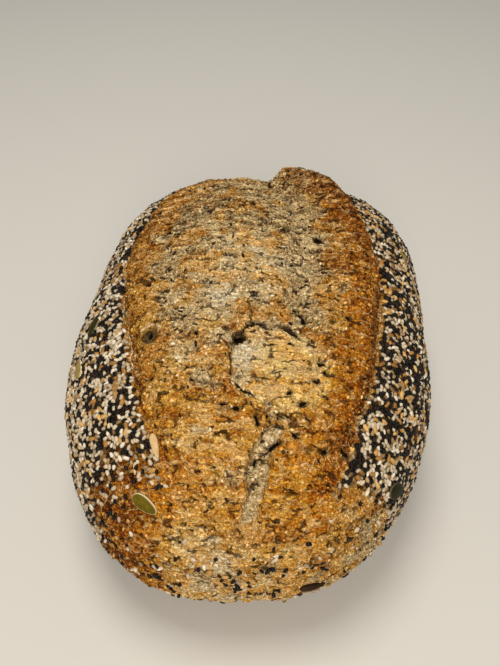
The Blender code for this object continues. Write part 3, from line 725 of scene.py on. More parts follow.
def crust_finish():
    """Baked crust of a wheat loaf: matt and grainy, gold where thin, brown where it stood nearest the heat,
    with greyer crumb showing where it tore, pale flaky edges, and dark specks. Its hollows, gaps and pores
    hold painted shade, and the lit rims of its scraps a painted highlight."""
    material, tree, shader = new_material("baked_wheat_crust")
    place = node(tree, "ShaderNodeAttribute", give="Vector", attribute_name="grown_at")
    across = node(tree, "ShaderNodeMapping", {"Vector": place, "Scale": (0.33, 1.0, 1.0)})
    values = {name: node(tree, "ShaderNodeAttribute", give="Fac", attribute_name=name)
              for name in ("bake", "crumb", "tint", "pale", "seed_cover", "torn_edge", "crack", "flake",
                           "bubble", "crevice", "tone", "pit", "rust", "open_crumb", "glow", "even",
                           "blister", "flour")}

    # Broad stretches of 7 mm, patches of 2.2 mm, grain of 1 mm, and crisp crumbs of 1.6 mm.
    broad = node(tree, "ShaderNodeTexNoise", {"Vector": across, "Scale": 1000 / 7, "Detail": 2.0})
    patches = node(tree, "ShaderNodeTexNoise", {"Vector": place, "Scale": 1000 / 2.2, "Detail": 3.0,
                                                "Roughness": 0.70})
    grain = node(tree, "ShaderNodeTexNoise", {"Vector": place, "Scale": 1000 / 1.0, "Detail": 2.0,
                                              "Roughness": 0.7})
    bend = node(tree, "ShaderNodeTexNoise", {"Vector": place, "Scale": 1000 / 1.6, "Detail": 2.0}, "Color")
    bend = node(tree, "ShaderNodeVectorMath", {0: bend, "Scale": 0.0022}, operation="SCALE")
    bent = node(tree, "ShaderNodeVectorMath", {0: across, 1: bend}, operation="ADD")
    crumbly = node(tree, "ShaderNodeTexVoronoi", {"Vector": bent, "Scale": 1000 / 1.6}, "Color")
    crumbly = node(tree, "ShaderNodeSeparateXYZ", {0: crumbly})
    gaps = node(tree, "ShaderNodeTexVoronoi", {"Vector": bent, "Scale": 1000 / 1.6},
                feature="DISTANCE_TO_EDGE")
    own, edge = torn_patches(tree, place)
    scrap = node(tree, "ShaderNodeSeparateXYZ", {0: own}, "X")

    # The crust's colour: how far it baked, a little redder in places, and brighter where it stayed thin.
    mottle = node(tree, "ShaderNodeMath", {0: broad, 1: 0.7, 2: -0.89}, operation="MULTIPLY_ADD")
    mottle = node(tree, "ShaderNodeMath", {0: patches, 1: 0.7, 2: mottle}, operation="MULTIPLY_ADD")
    mottle = node(tree, "ShaderNodeMath", {0: scrap, 1: 0.18, 2: mottle}, operation="MULTIPLY_ADD")
    mottle = node(tree, "ShaderNodeMath", {0: crumbly, 1: 0.20, 2: mottle}, operation="MULTIPLY_ADD")
    calm = node(tree, "ShaderNodeMath", {0: values["even"], 1: -0.40, 2: 1.0}, operation="MULTIPLY_ADD")
    bake = node(tree, "ShaderNodeMath", {0: mottle, 1: calm, 2: values["bake"]}, operation="MULTIPLY_ADD")
    bake = node(tree, "ShaderNodeMath", {0: grain, 1: 1.45, 2: bake}, operation="MULTIPLY_ADD")
    bake = node(tree, "ShaderNodeMath", {0: values["tone"], 1: -0.50, 2: bake}, operation="MULTIPLY_ADD")
    bake = node(tree, "ShaderNodeMath", {0: bake, 1: 0.725}, operation="SUBTRACT")
    crust = node(tree, "ShaderNodeValToRGB", {"Fac": bake}, stops=CRUST_COLOURS)
    redder = node(tree, "ShaderNodeTexNoise", {"Vector": place, "Scale": 1000 / 11, "Detail": 2.0})
    redder = node(tree, "ShaderNodeMapRange", {"Value": redder, "From Min": 0.48, "From Max": 0.62,
                                               "To Min": 0.0, "To Max": 0.22})
    redder = node(tree, "ShaderNodeMath", {0: redder, 1: values["rust"]}, operation="ADD", use_clamp=True)
    crust = node(tree, "ShaderNodeMix", {0: redder, 6: crust, 7: linear(REDDER)}, give=2, data_type="RGBA",
                 blend_type="MULTIPLY")
    glowing = node(tree, "ShaderNodeClamp", {"Value": values["glow"]})
    crust = node(tree, "ShaderNodeMix", {0: glowing, 6: crust, 7: linear(BRIGHTER)}, give=2, data_type="RGBA",
                 blend_type="MULTIPLY")

    # The crumb's colour, which shows where the dough tore.
    crumb_tone = node(tree, "ShaderNodeMath", {0: grain, 1: 0.6, 2: bake}, operation="MULTIPLY_ADD")
    crumb_tone = node(tree, "ShaderNodeMath", {0: crumb_tone, 1: 0.31}, operation="SUBTRACT")
    crumbs = node(tree, "ShaderNodeValToRGB", {"Fac": crumb_tone}, stops=CRUMB_COLOURS)
    torn = node(tree, "ShaderNodeMath", {0: patches, 1: 1.2, 2: -0.6}, operation="MULTIPLY_ADD")
    torn = node(tree, "ShaderNodeMath", {0: values["crumb"], 1: 2.8, 2: torn}, operation="MULTIPLY_ADD",
                use_clamp=True)
    torn = node(tree, "ShaderNodeMapRange", {"Value": torn, "From Min": 0.0, "From Max": 1.0,
                                             "To Min": values["tint"], "To Max": 0.92})
    colour = node(tree, "ShaderNodeMix", {0: torn, 6: crust, 7: crumbs}, give=2, data_type="RGBA")

    # Thin pale flaky lines, about 0.5 mm wide: some drawn out across the burst, where the dough stretched,
    # and some wandering. Scraps' rims get a painted highlight on their lit side, and pale specks of 1.3 mm
    # lie between.
    stretch = node(tree, "ShaderNodeTexNoise", {"Vector": across, "Scale": 1000 / 3.6, "Detail": 1.0,
                                                "Roughness": 0.4, "Distortion": 0.2})
    stretch = node(tree, "ShaderNodeMath", {0: stretch, 1: 0.5}, operation="SUBTRACT")
    stretch = node(tree, "ShaderNodeMath", {0: stretch}, operation="ABSOLUTE")
    wander = node(tree, "ShaderNodeTexNoise", {"Vector": place, "Scale": 1000 / 2.6, "Detail": 1.0,
                                               "Roughness": 0.4, "Distortion": 0.3})
    wander = node(tree, "ShaderNodeMath", {0: wander, 1: 0.47}, operation="SUBTRACT")
    wander = node(tree, "ShaderNodeMath", {0: wander}, operation="ABSOLUTE")
    lines = node(tree, "ShaderNodeMath", {0: stretch, 1: wander}, operation="MINIMUM")
    lines = node(tree, "ShaderNodeMapRange", {"Value": lines, "From Min": 0.075, "From Max": 0.030,
                                              "To Min": 0.0, "To Max": 1.0})
    where = node(tree, "ShaderNodeTexNoise", {"Vector": across, "Scale": 1000 / 2.8, "Detail": 1.0})
    where = node(tree, "ShaderNodeMath", {0: where, 1: 6.0, 2: -3.6}, operation="MULTIPLY_ADD")
    where = node(tree, "ShaderNodeMath", {0: values["pale"], 1: 1.8, 2: where}, operation="MULTIPLY_ADD",
                 use_clamp=True)
    lines = node(tree, "ShaderNodeMath", {0: lines, 1: where}, operation="MULTIPLY")
    # Painted light on the rims of scraps: where this noise is high a rim gets a painted highlight, where it
    # is low a painted shade.
    side = node(tree, "ShaderNodeTexNoise", {"Vector": place, "Scale": 1000 / 4.1, "Detail": 1.0})
    light = node(tree, "ShaderNodeMapRange", {"Value": side, "From Min": 0.46, "From Max": 0.56,
                                              "To Min": 0.0, "To Max": 0.75})
    rims = node(tree, "ShaderNodeMapRange", {"Value": edge, "From Min": 0.065, "From Max": 0.025,
                                             "To Min": 0.0, "To Max": 1.0})
    rims = node(tree, "ShaderNodeMath", {0: rims, 1: light}, operation="MULTIPLY")
    lines = node(tree, "ShaderNodeMath", {0: lines, 1: rims}, operation="MAXIMUM")
    specks = node(tree, "ShaderNodeTexNoise", {"Vector": place, "Scale": 1000 / 1.3, "Detail": 2.0,
                                               "Roughness": 0.6})
    specks = node(tree, "ShaderNodeMapRange", {"Value": specks, "From Min": 0.60, "From Max": 0.66,
                                               "To Min": 0.0, "To Max": 0.60})
    lines = node(tree, "ShaderNodeMath", {0: lines, 1: specks}, operation="MAXIMUM")
    flaky = node(tree, "ShaderNodeMix", {0: torn, 6: linear(FLAKE_ON_CRUST), 7: linear(FLAKE_ON_CRUMB)},
                 give=2, data_type="RGBA")
    colour = node(tree, "ShaderNodeMix", {0: lines, 6: colour, 7: flaky}, give=2, data_type="RGBA")

    # A dusting of flour.
    floury = node(tree, "ShaderNodeMath", {0: crumbly, 1: 0.5, 2: values["flour"]}, operation="MULTIPLY_ADD")
    floury = node(tree, "ShaderNodeMath", {0: grain, 1: 0.6, 2: floury}, operation="MULTIPLY_ADD")
    floury = node(tree, "ShaderNodeMapRange", {"Value": floury, "From Min": 1.02, "From Max": 1.18,
                                               "To Min": 0.0, "To Max": 0.85})
    colour = node(tree, "ShaderNodeMix", {0: floury, 6: colour, 7: linear(FLOUR_COLOUR)}, give=2,
                  data_type="RGBA")

    # Open pores of up to 1 mm, 2.4 mm apart, drawn out across the burst, with painted shade inside them.
    holes = node(tree, "ShaderNodeTexVoronoi", {"Vector": bent, "Scale": 1000 / 2.4}).node.outputs
    pick = node(tree, "ShaderNodeSeparateXYZ", {0: holes["Color"]})
    pick = node(tree, "ShaderNodeMath", {0: values["open_crumb"], 1: 0.25, 2: pick}, operation="MULTIPLY_ADD")
    pick = node(tree, "ShaderNodeMapRange", {"Value": pick, "From Min": 0.62, "From Max": 1.0,
                                             "To Min": 0.0, "To Max": 0.40})
    pores = node(tree, "ShaderNodeMath", {0: pick, 1: holes["Distance"]}, operation="SUBTRACT")
    pores = node(tree, "ShaderNodeMapRange", {"Value": pores, "From Min": 0.0, "From Max": 0.10,
                                              "To Min": 0.0, "To Max": 0.9})
    colour = node(tree, "ShaderNodeMix", {0: pores, 6: colour, 7: linear(PORE_SHADE)}, give=2,
                  data_type="RGBA")

    # Hollows, gaps and cracks are darkened with painted shade, and hold darker crumb: the gaps between
    # crumbs, the hollows between flakes, the shaded sides of scrap edges, and bubbles, crevices, pits and the
    # blister's floor.
    shaded_side = node(tree, "ShaderNodeMapRange", {"Value": side, "From Min": 0.47, "From Max": 0.38,
                                             "To Min": 0.0, "To Max": 0.85})
    dark = node(tree, "ShaderNodeMapRange", {"Value": edge, "From Min": 0.10, "From Max": 0.03,
                                             "To Min": 0.0, "To Max": 1.0})
    shaded_scrap_edge = node(tree, "ShaderNodeMath", {0: dark, 1: shaded_side}, operation="MULTIPLY")
    colour = node(tree, "ShaderNodeMix", {0: shaded_scrap_edge, 6: colour, 7: linear(SCRAP_SHADE)}, give=2,
                  data_type="RGBA")
    dark = node(tree, "ShaderNodeMapRange", {"Value": gaps, "From Min": 0.09, "From Max": 0.0,
                                             "To Min": 0.0, "To Max": 0.22})
    colour = node(tree, "ShaderNodeMix", {0: dark, 6: colour, 7: linear(CRUMB_GAP_SHADE)}, give=2, data_type="RGBA")
    dark = node(tree, "ShaderNodeMapRange", {"Value": values["flake"], "From Min": 0.1, "From Max": -1.0,
                                             "To Min": 0.0, "To Max": 0.45})
    colour = node(tree, "ShaderNodeMix", {0: dark, 6: colour, 7: linear(FLAKE_SHADE)}, give=2,
                  data_type="RGBA")
    ragged = node(tree, "ShaderNodeMath", {0: grain, 1: 0.4, 2: -0.2}, operation="MULTIPLY_ADD")
    for name, start, end, strength, paint in HOLLOW_SHADE_AND_EDGE_MARKS:
        here = node(tree, "ShaderNodeMath", {0: ragged, 1: values[name]}, operation="ADD")
        here = node(tree, "ShaderNodeMapRange", {"Value": here, "From Min": start, "From Max": end,
                                                 "To Min": 0.0, "To Max": strength})
        colour = node(tree, "ShaderNodeMix", {0: here, 6: colour, 7: linear(paint)}, give=2, data_type="RGBA")

    # The skin is dark between the seeds, in their shade.
    under = node(tree, "ShaderNodeMapRange", {"Value": values["seed_cover"], "From Min": 0.30,
                                              "From Max": 0.95, "To Min": 0.0, "To Max": 0.85})
    colour = node(tree, "ShaderNodeMix", {0: under, 6: colour, 7: linear(SEED_SHADE)}, give=2,
                  data_type="RGBA")
    tree.links.new(colour, shader.inputs["Base Color"])
    shader.inputs["Roughness"].default_value = 0.60
    shader.inputs["Specular IOR Level"].default_value = 0.05

    # Its grain: crumbs, grit and flaky lines stand out, and pores, gaps and the edges of scraps lie deeper.
    bumps = node(tree, "ShaderNodeMath", {0: grain, 1: 0.5, 2: patches}, operation="MULTIPLY_ADD")
    bumps = node(tree, "ShaderNodeMath", {0: lines, 1: 0.9, 2: bumps}, operation="MULTIPLY_ADD")
    bumps = node(tree, "ShaderNodeMath", {0: pores, 1: -0.5, 2: bumps}, operation="MULTIPLY_ADD")
    gaps = node(tree, "ShaderNodeMapRange", {"Value": gaps, "From Min": 0.0, "From Max": 0.2,
                                             "To Min": -0.4, "To Max": 0.0})
    bumps = node(tree, "ShaderNodeMath", {0: bumps, 1: gaps}, operation="ADD")
    bumps = node(tree, "ShaderNodeMath", {0: shaded_scrap_edge, 1: -0.8, 2: bumps}, operation="MULTIPLY_ADD")
    bumps = node(tree, "ShaderNodeBump", {"Height": bumps, "Strength": 1.0, "Distance": 0.00125})
    tree.links.new(bumps, shader.inputs["Normal"])
    return material


def as_plain_mesh(piece):
    """Turns what a piece's modifiers make into its own mesh."""
    bpy.context.view_layer.update()
    made = bpy.data.meshes.new_from_object(piece.evaluated_get(bpy.context.evaluated_depsgraph_get()))
    piece.modifiers.clear()
    piece.data = made


crust = bpy.data.objects.new("loaf_crust", shape_crust())
scene.collection.objects.link(crust)
crags = crust.modifiers.new("crags", "NODES")
crags.node_group = crag_tree()
sockets = {item.name: item.identifier for item in crags.node_group.interface.items_tree
           if item.in_out == "INPUT"}
for name, size in CRAGS.items():
    crags[sockets[name]] = size
thin = crust.modifiers.new("thin_out", "DECIMATE")
thin.ratio = MOST_FACES / len(crust.data.polygons)
as_plain_mesh(crust)
crust.data.shade_smooth()
crust.data.materials.append(crust_finish())
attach(crust, "root")
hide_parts("loaf")

# ---------------------------------------------------------------- sesame and flax, rolled on
# Small flat teardrops that stick where the wet dough was rolled in them: hulled cream sesame, some of it
# toasted, unhulled black sesame and golden flax. They lie every way round, pressed in by about a third.
SESAME_SIZE = (0.0026, 0.0015, 0.0011)
FLAX_SIZE = (0.0038, 0.0019, 0.0012)
SESAME_RANGE = {"smallest": 0.87, "largest": 1.18}  # against the size above
FLAX_RANGE = {"smallest": 0.85, "largest": 1.15}
SEED_TAPER = 0.35
SEED_DIVISIONS = (6, 3)  # segments round it and rings along it, few because there are thousands
SEED_SPACING = 0.00136
SEED_DENSITY = 3.0e6  # points per square metre before the spacing thins them
SEED_DRAW = 5
# Each kind's share of the seeds reaches up to this.
UP_TO_WHITE = 0.42
UP_TO_TOASTED = 0.50
UP_TO_FLAX = 0.57
# Tones from a kind's darkest seeds to its palest. Their skins are satin, and flax is the glossiest.
HULLED_TONES = ((0.0, "8f7d63"), (0.35, "b8a688"), (0.8, "d0c1a6"), (1.0, "e6dbc6"))
TOASTED_TONES = ((0.0, "6d5130"), (0.5, "967748"), (1.0, "bd9c68"))
FLAX_TONES = ((0.0, "7a5424"), (0.5, "ad7c38"), (1.0, "d4aa66"))
BLACK_TONES = ((0.0, "080604"), (0.7, "130d08"), (1.0, "2e2016"))


def seed_shape(name, size, divisions=SEED_DIVISIONS, taper=SEED_TAPER):
    """A flat teardrop along X, fullest near one end."""
    ball = bmesh.new()
    bmesh.ops.create_uvsphere(ball, u_segments=divisions[0], v_segments=divisions[1], radius=0.5)
    bmesh.ops.rotate(ball, verts=ball.verts, matrix=Matrix.Rotation(math.pi / 2, 3, "Y"))
    widest = 2 * max(vertex.co.z for vertex in ball.verts)
    for vertex in ball.verts:
        x, y, z = vertex.co
        width, thickness = size[1] / widest * (1.0 - taper * (x + 0.5)), size[2] / widest
        vertex.co = ((x + taper * (x * x - 0.25)) * size[0], y * width, z * thickness)
    bmesh.ops.recalc_face_normals(ball, faces=ball.faces[:])
    mesh = bpy.data.meshes.new(name)
    ball.to_mesh(mesh)
    ball.free()
    return bpy.data.objects.new(name, mesh)


def scatter_tree():
    """Seeds over a crust: evenly spaced points, of which each kind takes its own share."""
    tree = bpy.data.node_groups.new("rolled_in_seeds", "GeometryNodeTree")
    tree.interface.new_socket("Crust", in_out="INPUT", socket_type="NodeSocketObject")
    tree.interface.new_socket("Seed", in_out="INPUT", socket_type="NodeSocketObject")
    tree.interface.new_socket("Finish", in_out="INPUT", socket_type="NodeSocketMaterial")
    tree.interface.new_socket("Cover", in_out="INPUT", socket_type="NodeSocketString")
    tree.interface.new_socket("Draw", in_out="INPUT", socket_type="NodeSocketInt")
    for name in ("Spacing", "Density", "From Share", "To Share", "Clumping", "Lowest", "Highest", "Tilt",
                 "Smallest", "Largest", "First Tone", "Last Tone"):
        tree.interface.new_socket(name, in_out="INPUT", socket_type="NodeSocketFloat")
    tree.interface.new_socket("Geometry", in_out="OUTPUT", socket_type="NodeSocketGeometry")
    given = tree.nodes.new("NodeGroupInput").outputs

    surface = node(tree, "GeometryNodeObjectInfo", {"Object": given["Crust"]}, "Geometry")
    cover = node(tree, "GeometryNodeInputNamedAttribute", {"Name": given["Cover"]}, data_type="FLOAT")
    sown = node(tree, "GeometryNodeDistributePointsOnFaces",
                {"Mesh": surface, "Distance Min": given["Spacing"], "Density Max": given["Density"],
                 "Density Factor": cover, "Seed": given["Draw"]},
                distribute_method="POISSON").node.outputs

    # Which kind of seed grows at a point: like seeds gather in clumps of 5 mm.
    share = node(tree, "FunctionNodeRandomValue", {2: 0.0, 3: 1.0, "Seed": 1}, 1, data_type="FLOAT")
    clump = node(tree, "ShaderNodeTexNoise", {"Scale": 1000 / 5, "Detail": 1.0})
    clump = node(tree, "ShaderNodeMath", {0: clump, 1: 0.5}, operation="SUBTRACT")
    share = node(tree, "ShaderNodeMath", {0: clump, 1: given["Clumping"], 2: share}, operation="MULTIPLY_ADD")
    mixture = node(tree, "GeometryNodeInputNamedAttribute", {"Name": "seed_mixture"}, data_type="FLOAT")
    share = node(tree, "ShaderNodeMath", {0: share, 1: mixture}, operation="ADD")
    share = node(tree, "ShaderNodeClamp", {"Value": share, "Min": 0.0, "Max": 0.9999})
    above = node(tree, "FunctionNodeCompare", {0: share, 1: given["From Share"]}, operation="GREATER_EQUAL")
    below = node(tree, "FunctionNodeCompare", {0: share, 1: given["To Share"]}, operation="LESS_THAN")
    taken = node(tree, "FunctionNodeBooleanMath", {0: above, 1: below}, operation="AND")

    # How it lies: turned any way, tilted a little, and more or less pressed in.
    spin = node(tree, "FunctionNodeRandomValue", {2: 0.0, 3: math.tau, "Seed": 2}, 1, data_type="FLOAT")
    back = node(tree, "ShaderNodeMath", {0: given["Tilt"], 1: -1.0}, operation="MULTIPLY")
    nod = node(tree, "FunctionNodeRandomValue", {2: back, 3: given["Tilt"], "Seed": 3}, 1, data_type="FLOAT")
    roll = node(tree, "FunctionNodeRandomValue", {2: back, 3: given["Tilt"], "Seed": 4}, 1, data_type="FLOAT")
    turn = node(tree, "ShaderNodeCombineXYZ", {"X": nod, "Y": roll, "Z": spin})
    turned = node(tree, "FunctionNodeRotateRotation", {"Rotation": sown["Rotation"], "Rotate By": turn},
                  rotation_space="LOCAL")
    size = node(tree, "FunctionNodeRandomValue", {2: given["Smallest"], 3: given["Largest"], "Seed": 5}, 1,
                data_type="FLOAT")
    lift = node(tree, "FunctionNodeRandomValue", {2: given["Lowest"], 3: given["Highest"], "Seed": 7}, 1,
                data_type="FLOAT")
    raised = node(tree, "ShaderNodeVectorMath", {0: sown["Normal"], "Scale": lift}, operation="SCALE")
    lifted = node(tree, "GeometryNodeSetPosition", {"Geometry": sown["Points"], "Offset": raised})
    shape = node(tree, "GeometryNodeObjectInfo", {"Object": given["Seed"]}, "Geometry")
    placed = node(tree, "GeometryNodeInstanceOnPoints",
                  {"Points": lifted, "Selection": taken, "Instance": shape, "Rotation": turned,
                   "Scale": size})
    tone = node(tree, "FunctionNodeRandomValue", {2: given["First Tone"], 3: given["Last Tone"], "Seed": 6},
                1, data_type="FLOAT")
    toned = node(tree, "GeometryNodeStoreNamedAttribute", {"Geometry": placed, "Name": "tone", "Value": tone},
                 data_type="FLOAT", domain="INSTANCE")
    real = node(tree, "GeometryNodeRealizeInstances", {"Geometry": toned})
    smooth = node(tree, "GeometryNodeSetShadeSmooth", {"Geometry": real})
    done = node(tree, "GeometryNodeSetMaterial", {"Geometry": smooth, "Material": given["Finish"]})
    node(tree, "NodeGroupOutput", {"Geometry": done})
    return tree


def seed_finish(name, tones, roughness, gloss=0.3):
    """A seed's coat: each seed has its own tone of its kind."""
    material, tree, shader = new_material(name)
    tone = node(tree, "ShaderNodeAttribute", give="Fac", attribute_name="tone")
    colour = node(tree, "ShaderNodeValToRGB", {"Fac": tone}, stops=tones)
    tree.links.new(colour, shader.inputs["Base Color"])
    shader.inputs["Roughness"].default_value = roughness
    shader.inputs["Specular IOR Level"].default_value = gloss
    return material


def scatter(name, slot, **given):
    """One kind of seed or flake over the crust, as one plain mesh, from the values of the tree's inputs."""
    piece = bpy.data.objects.new(name, bpy.data.meshes.new(name))
    scene.collection.objects.link(piece)
    sow = piece.modifiers.new("sow", "NODES")
    sow.node_group = seed_scatter
    sockets = {item.name: item.identifier for item in seed_scatter.interface.items_tree
               if item.in_out == "INPUT"}
    for key, value in given.items():
        sow[sockets[key.replace("_", " ").title()]] = value
    as_plain_mesh(piece)
    bpy.data.objects.remove(given["seed"])
    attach(piece, "root")
    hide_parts("loaf")


seed_scatter = scatter_tree()
rolled_on = {"crust": crust, "cover": "seed_cover", "spacing": SEED_SPACING, "density": SEED_DENSITY,
             "clumping": 1.1, "lowest": 0.0001, "highest": 0.0006, "tilt": 0.40, "draw": SEED_DRAW,
             "first_tone": 0.0, "last_tone": 1.0}
scatter("white_sesame", "white_sesame", seed=seed_shape("sesame_hulled", SESAME_SIZE),
        finish=seed_finish("hulled_sesame", HULLED_TONES, roughness=0.5),
        from_share=0.0, to_share=UP_TO_WHITE, **SESAME_RANGE, **rolled_on)
scatter("toasted_sesame", "white_sesame", seed=seed_shape("sesame_toasted", SESAME_SIZE),
        finish=seed_finish("toasted_sesame", TOASTED_TONES, roughness=0.5),
        from_share=UP_TO_WHITE, to_share=UP_TO_TOASTED, **SESAME_RANGE, **rolled_on)
scatter("golden_seed", "golden_seed", seed=seed_shape("flax", FLAX_SIZE),
        finish=seed_finish("golden_flax_coat", FLAX_TONES, roughness=0.4),
        from_share=UP_TO_TOASTED, to_share=UP_TO_FLAX, **FLAX_RANGE, **rolled_on)
scatter("black_sesame", "black_sesame", seed=seed_shape("sesame_black", SESAME_SIZE),
        finish=seed_finish("black_sesame_coat", BLACK_TONES, roughness=0.5, gloss=0.2),
        from_share=UP_TO_FLAX, to_share=1.0, **SESAME_RANGE, **rolled_on)

# ---------------------------------------------------------------- seeds and flakes of the burst crust
# Where the dough tore, seeds that were kneaded into it are baked half in, and the crust blistered into small
# crisp flakes that stand off it.
FLAKE_SIZE = (0.0014, 0.0010, 0.0006)
FLAKE_SPACING = 0.00165
BAKED_IN_SPACING = 0.0068
BAKED_IN_DIVISIONS = (8, 6)
UP_TO_BAKED_FLAX = 0.12  # of the places; those between the two kinds stay empty
FROM_BAKED_SESAME = 0.28
# The oven took the gloss of these, and they are browner than those on the sides.
BAKED_BLACK_TONES = ((0.0, "1c130b"), (0.7, "2e2013"), (1.0, "4a3520"))
BAKED_FLAX_TONES = ((0.0, "5a3a18"), (0.6, "7d5522"), (1.0, "a67c42"))

chip = bmesh.new()
bmesh.ops.create_icosphere(chip, subdivisions=1, radius=0.5)
bmesh.ops.scale(chip, vec=FLAKE_SIZE, verts=chip.verts)
flake = bpy.data.objects.new("flake", bpy.data.meshes.new("flake"))
chip.to_mesh(flake.data)
chip.free()
scatter("crust_flakes", "crust", seed=flake, finish=crust.data.materials[0], crust=crust, cover="flaky",
        spacing=FLAKE_SPACING, density=7.0e5, clumping=0.0, lowest=-0.00015, highest=0.00020, tilt=0.55,
        smallest=0.55, largest=1.45, from_share=-1.0, to_share=2.0, draw=SEED_DRAW + 1, first_tone=-0.35,
        last_tone=0.65)
baked_in = {"crust": crust, "cover": "baked_in", "spacing": BAKED_IN_SPACING, "density": 3.0e4,
            "clumping": 0.6, "lowest": -0.0002, "highest": 0.0002, "tilt": 0.5, "draw": SEED_DRAW + 2,
            "first_tone": 0.0, "last_tone": 1.0}
scatter("baked_in_black_sesame", "black_sesame",
        seed=seed_shape("sesame_baked_in", SESAME_SIZE, BAKED_IN_DIVISIONS),
        finish=seed_finish("baked_black_sesame", BAKED_BLACK_TONES, roughness=0.6, gloss=0.1),
        smallest=0.65, largest=1.10, from_share=FROM_BAKED_SESAME, to_share=2.0, **baked_in)
scatter("baked_in_flax", "golden_seed", seed=seed_shape("flax_baked_in", FLAX_SIZE, BAKED_IN_DIVISIONS),
        finish=seed_finish("baked_flax", BAKED_FLAX_TONES, roughness=0.5, gloss=0.15),
        smallest=0.6, largest=0.9, from_share=-1.0, to_share=UP_TO_BAKED_FLAX, **baked_in)

# ---------------------------------------------------------------- sunflower kernels and pumpkin seeds
# Hulled sunflower kernels are grey-cream teardrops. Hulled pumpkin seeds are flat, olive green with a pale
# rim, and browned by the oven. Each lies where it stuck, pressed about a third into the crust.
KERNEL_SIZE = (0.0092, 0.0036, 0.0026)
PUMPKIN_SIZE = (0.0118, 0.0068, 0.0026)
PUMPKIN_TAPER = 0.18
KERNEL_DIVISIONS = (24, 12)
PUMPKIN_DIVISIONS = (32, 16)
PRESSED_IN = 0.30  # share of its thickness below the crust's highest point under it
LOOK_AROUND = 0.004  # how far round its middle the crust's lie is read
SETTLED = 0.0004
PUMPKIN_TONES = ((0.0, "1d1b0a"), (0.30, "38330f"), (0.60, "5c4f10"), (0.80, "7e6922"), (1.0, "a08a58"))
PUMPKIN_RIM = "d8c69c"
KERNEL_TONES = ((0.0, "2e1c0e"), (0.15, "6b4520"), (0.3, "96703c"), (0.6, "c29c64"), (1.0, "ecd6a6"))
# Each seed's blunt end and sharp end on the form, its tone, and its size against the kind's.
KERNELS = (((-0.0282, -0.0838, 0.0850), (-0.0259, -0.0902, 0.0817), 0.72, 1.00),
           ((-0.0469, -0.0611, 0.0869), (-0.0453, -0.0672, 0.0855), 0.35, 1.00),
           ((-0.0340, -0.0907, 0.0783), (-0.0336, -0.0940, 0.0758), 0.75, 0.50),
           ((0.0657, -0.0482, 0.0750), (0.0697, -0.0435, 0.0713), 0.45, 0.90),
           ((0.0720, -0.0532, 0.0609), (0.0717, -0.0558, 0.0591), 0.10, 0.75),
           ((0.0304, -0.1109, 0.0305), (0.0390, -0.1064, 0.0288), -0.10, 1.15))
PUMPKIN_SEEDS = (((-0.0335, -0.0987, 0.0710), (-0.0240, -0.1049, 0.0681), 0.60, 0.90),
                 ((-0.0632, -0.0229, 0.0834), (-0.0651, -0.0308, 0.0805), 0.20, 1.00),
                 ((0.0604, -0.0798, 0.0575), (0.0670, -0.0735, 0.0480), 0.08, 1.15),
                 ((-0.0668, -0.0476, 0.0736), (-0.0688, -0.0403, 0.0734), 0.90, 0.95),
                 ((0.0674, 0.0329, 0.0779), (0.0650, 0.0420, 0.0780), 0.85, 0.85),
                 ((0.0330, 0.1060, 0.0500), (0.0420, 0.1030, 0.0450), 0.50, 1.00),
                 ((-0.0560, 0.0800, 0.0600), (-0.0480, 0.0860, 0.0580), 0.35, 1.00))


crust_surface = BVHTree.FromPolygons([vertex.co for vertex in crust.data.vertices],
                                     [face.vertices for face in crust.data.polygons])


def stick_on(name, shape, thickness, places, finish):
    """Seeds laid one by one on the crust, each from its blunt end to its sharp end."""
    points = np.array([vertex.co for vertex in shape.data.vertices])
    edge = 1.0 - np.abs(np.array([vertex.normal.z for vertex in shape.data.vertices]))
    faces = [list(face.vertices) for face in shape.data.polygons]
    bpy.data.objects.remove(shape)
    all_points, all_faces, tones, rims = [], [], [], []
    for blunt, sharp, tone, size in places:
        blunt, sharp = Vector(blunt) + Vector(SET_DOWN), Vector(sharp) + Vector(SET_DOWN)
        middle = crust_surface.find_nearest((blunt + sharp) / 2)[0]
        found = crust_surface.find_nearest_range(middle, LOOK_AROUND)
        up = sum((hit[1] for hit in found), Vector()).normalized()
        ground = max(hit[0].dot(up) for hit in found)
        middle += up * (ground - middle.dot(up) + (0.5 - PRESSED_IN) * thickness - SETTLED)
        along = (sharp - blunt).normalized()
        along = (along - up * along.dot(up)).normalized()
        turn = np.array((along, up.cross(along), up)).T
        all_faces += [[corner + len(all_points) * len(points) for corner in face] for face in faces]
        all_points.append(size * points @ turn.T + np.array(middle))
        tones += [tone] * len(points)
        rims += edge.tolist()
    mesh = bpy.data.meshes.new(name)
    mesh.from_pydata(np.concatenate(all_points).tolist(), [], all_faces)
    for label, values in (("tone", tones), ("rim", rims)):
        mesh.attributes.new(label, "FLOAT", "POINT").data.foreach_set("value", values)
    mesh.shade_smooth()
    mesh.materials.append(finish)
    piece = bpy.data.objects.new(name, mesh)
    scene.collection.objects.link(piece)
    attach(piece, "root")
    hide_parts("loaf")


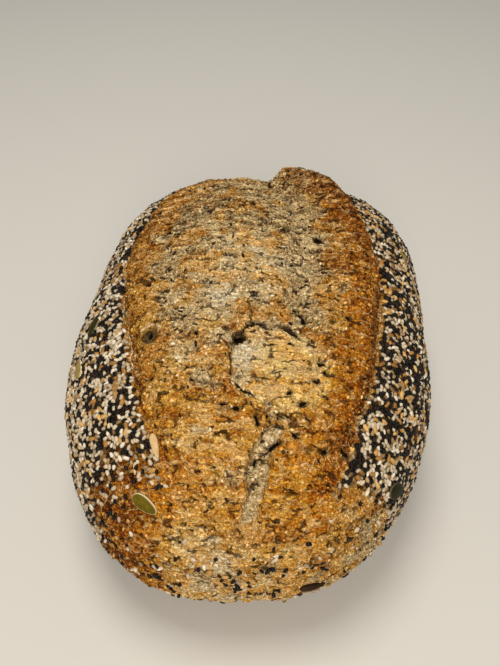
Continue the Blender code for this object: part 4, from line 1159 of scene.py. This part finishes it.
def pumpkin_seed_finish():
    """The skin of a hulled pumpkin seed: satin olive, mottled, with a paler raised rim."""
    material, tree, shader = new_material("pumpkin_seed_skin")
    place = node(tree, "ShaderNodeTexCoord", give="Object")
    tone = node(tree, "ShaderNodeAttribute", give="Fac", attribute_name="tone")
    rim = node(tree, "ShaderNodeAttribute", give="Fac", attribute_name="rim")
    mottle = node(tree, "ShaderNodeTexNoise", {"Vector": place, "Scale": 1000 / 1.8, "Detail": 3.0})
    shade = node(tree, "ShaderNodeMath", {0: mottle, 1: 0.35, 2: tone}, operation="MULTIPLY_ADD")
    shade = node(tree, "ShaderNodeMath", {0: shade, 1: 0.17}, operation="SUBTRACT")
    colour = node(tree, "ShaderNodeValToRGB", {"Fac": shade}, stops=PUMPKIN_TONES)
    rim = node(tree, "ShaderNodeMapRange", {"Value": rim, "From Min": 0.14, "From Max": 0.28,
                                            "To Min": 0.0, "To Max": 1.4})
    rim = node(tree, "ShaderNodeMath", {0: rim, 1: tone}, operation="MULTIPLY", use_clamp=True)
    colour = node(tree, "ShaderNodeMix", {0: rim, 6: colour, 7: linear(PUMPKIN_RIM)}, give=2,
                  data_type="RGBA")
    tree.links.new(colour, shader.inputs["Base Color"])
    shader.inputs["Roughness"].default_value = 0.55
    shader.inputs["Specular IOR Level"].default_value = 0.05
    bumps = node(tree, "ShaderNodeBump", {"Height": mottle, "Strength": 0.5, "Distance": 0.0004})
    tree.links.new(bumps, shader.inputs["Normal"])
    return material


def kernel_finish():
    """A hulled sunflower kernel: matt, grey-cream, toasted darker in places."""
    material, tree, shader = new_material("sunflower_kernel_skin")
    place = node(tree, "ShaderNodeTexCoord", give="Object")
    tone = node(tree, "ShaderNodeAttribute", give="Fac", attribute_name="tone")
    mottle = node(tree, "ShaderNodeTexNoise", {"Vector": place, "Scale": 1000 / 1.6, "Detail": 3.0})
    shade = node(tree, "ShaderNodeMath", {0: mottle, 1: 0.5, 2: tone}, operation="MULTIPLY_ADD")
    shade = node(tree, "ShaderNodeMath", {0: shade, 1: 0.25}, operation="SUBTRACT")
    colour = node(tree, "ShaderNodeValToRGB", {"Fac": shade}, stops=KERNEL_TONES)
    tree.links.new(colour, shader.inputs["Base Color"])
    shader.inputs["Roughness"].default_value = 0.6
    shader.inputs["Specular IOR Level"].default_value = 0.15
    bumps = node(tree, "ShaderNodeBump", {"Height": mottle, "Strength": 0.5, "Distance": 0.0004})
    tree.links.new(bumps, shader.inputs["Normal"])
    return material


stick_on("sunflower_kernels", seed_shape("kernel", KERNEL_SIZE, KERNEL_DIVISIONS),
         KERNEL_SIZE[2], KERNELS, kernel_finish())
stick_on("pumpkin_seeds",
         seed_shape("pumpkin_seed", PUMPKIN_SIZE, PUMPKIN_DIVISIONS, PUMPKIN_TAPER), PUMPKIN_SIZE[2],
         PUMPKIN_SEEDS, pumpkin_seed_finish())
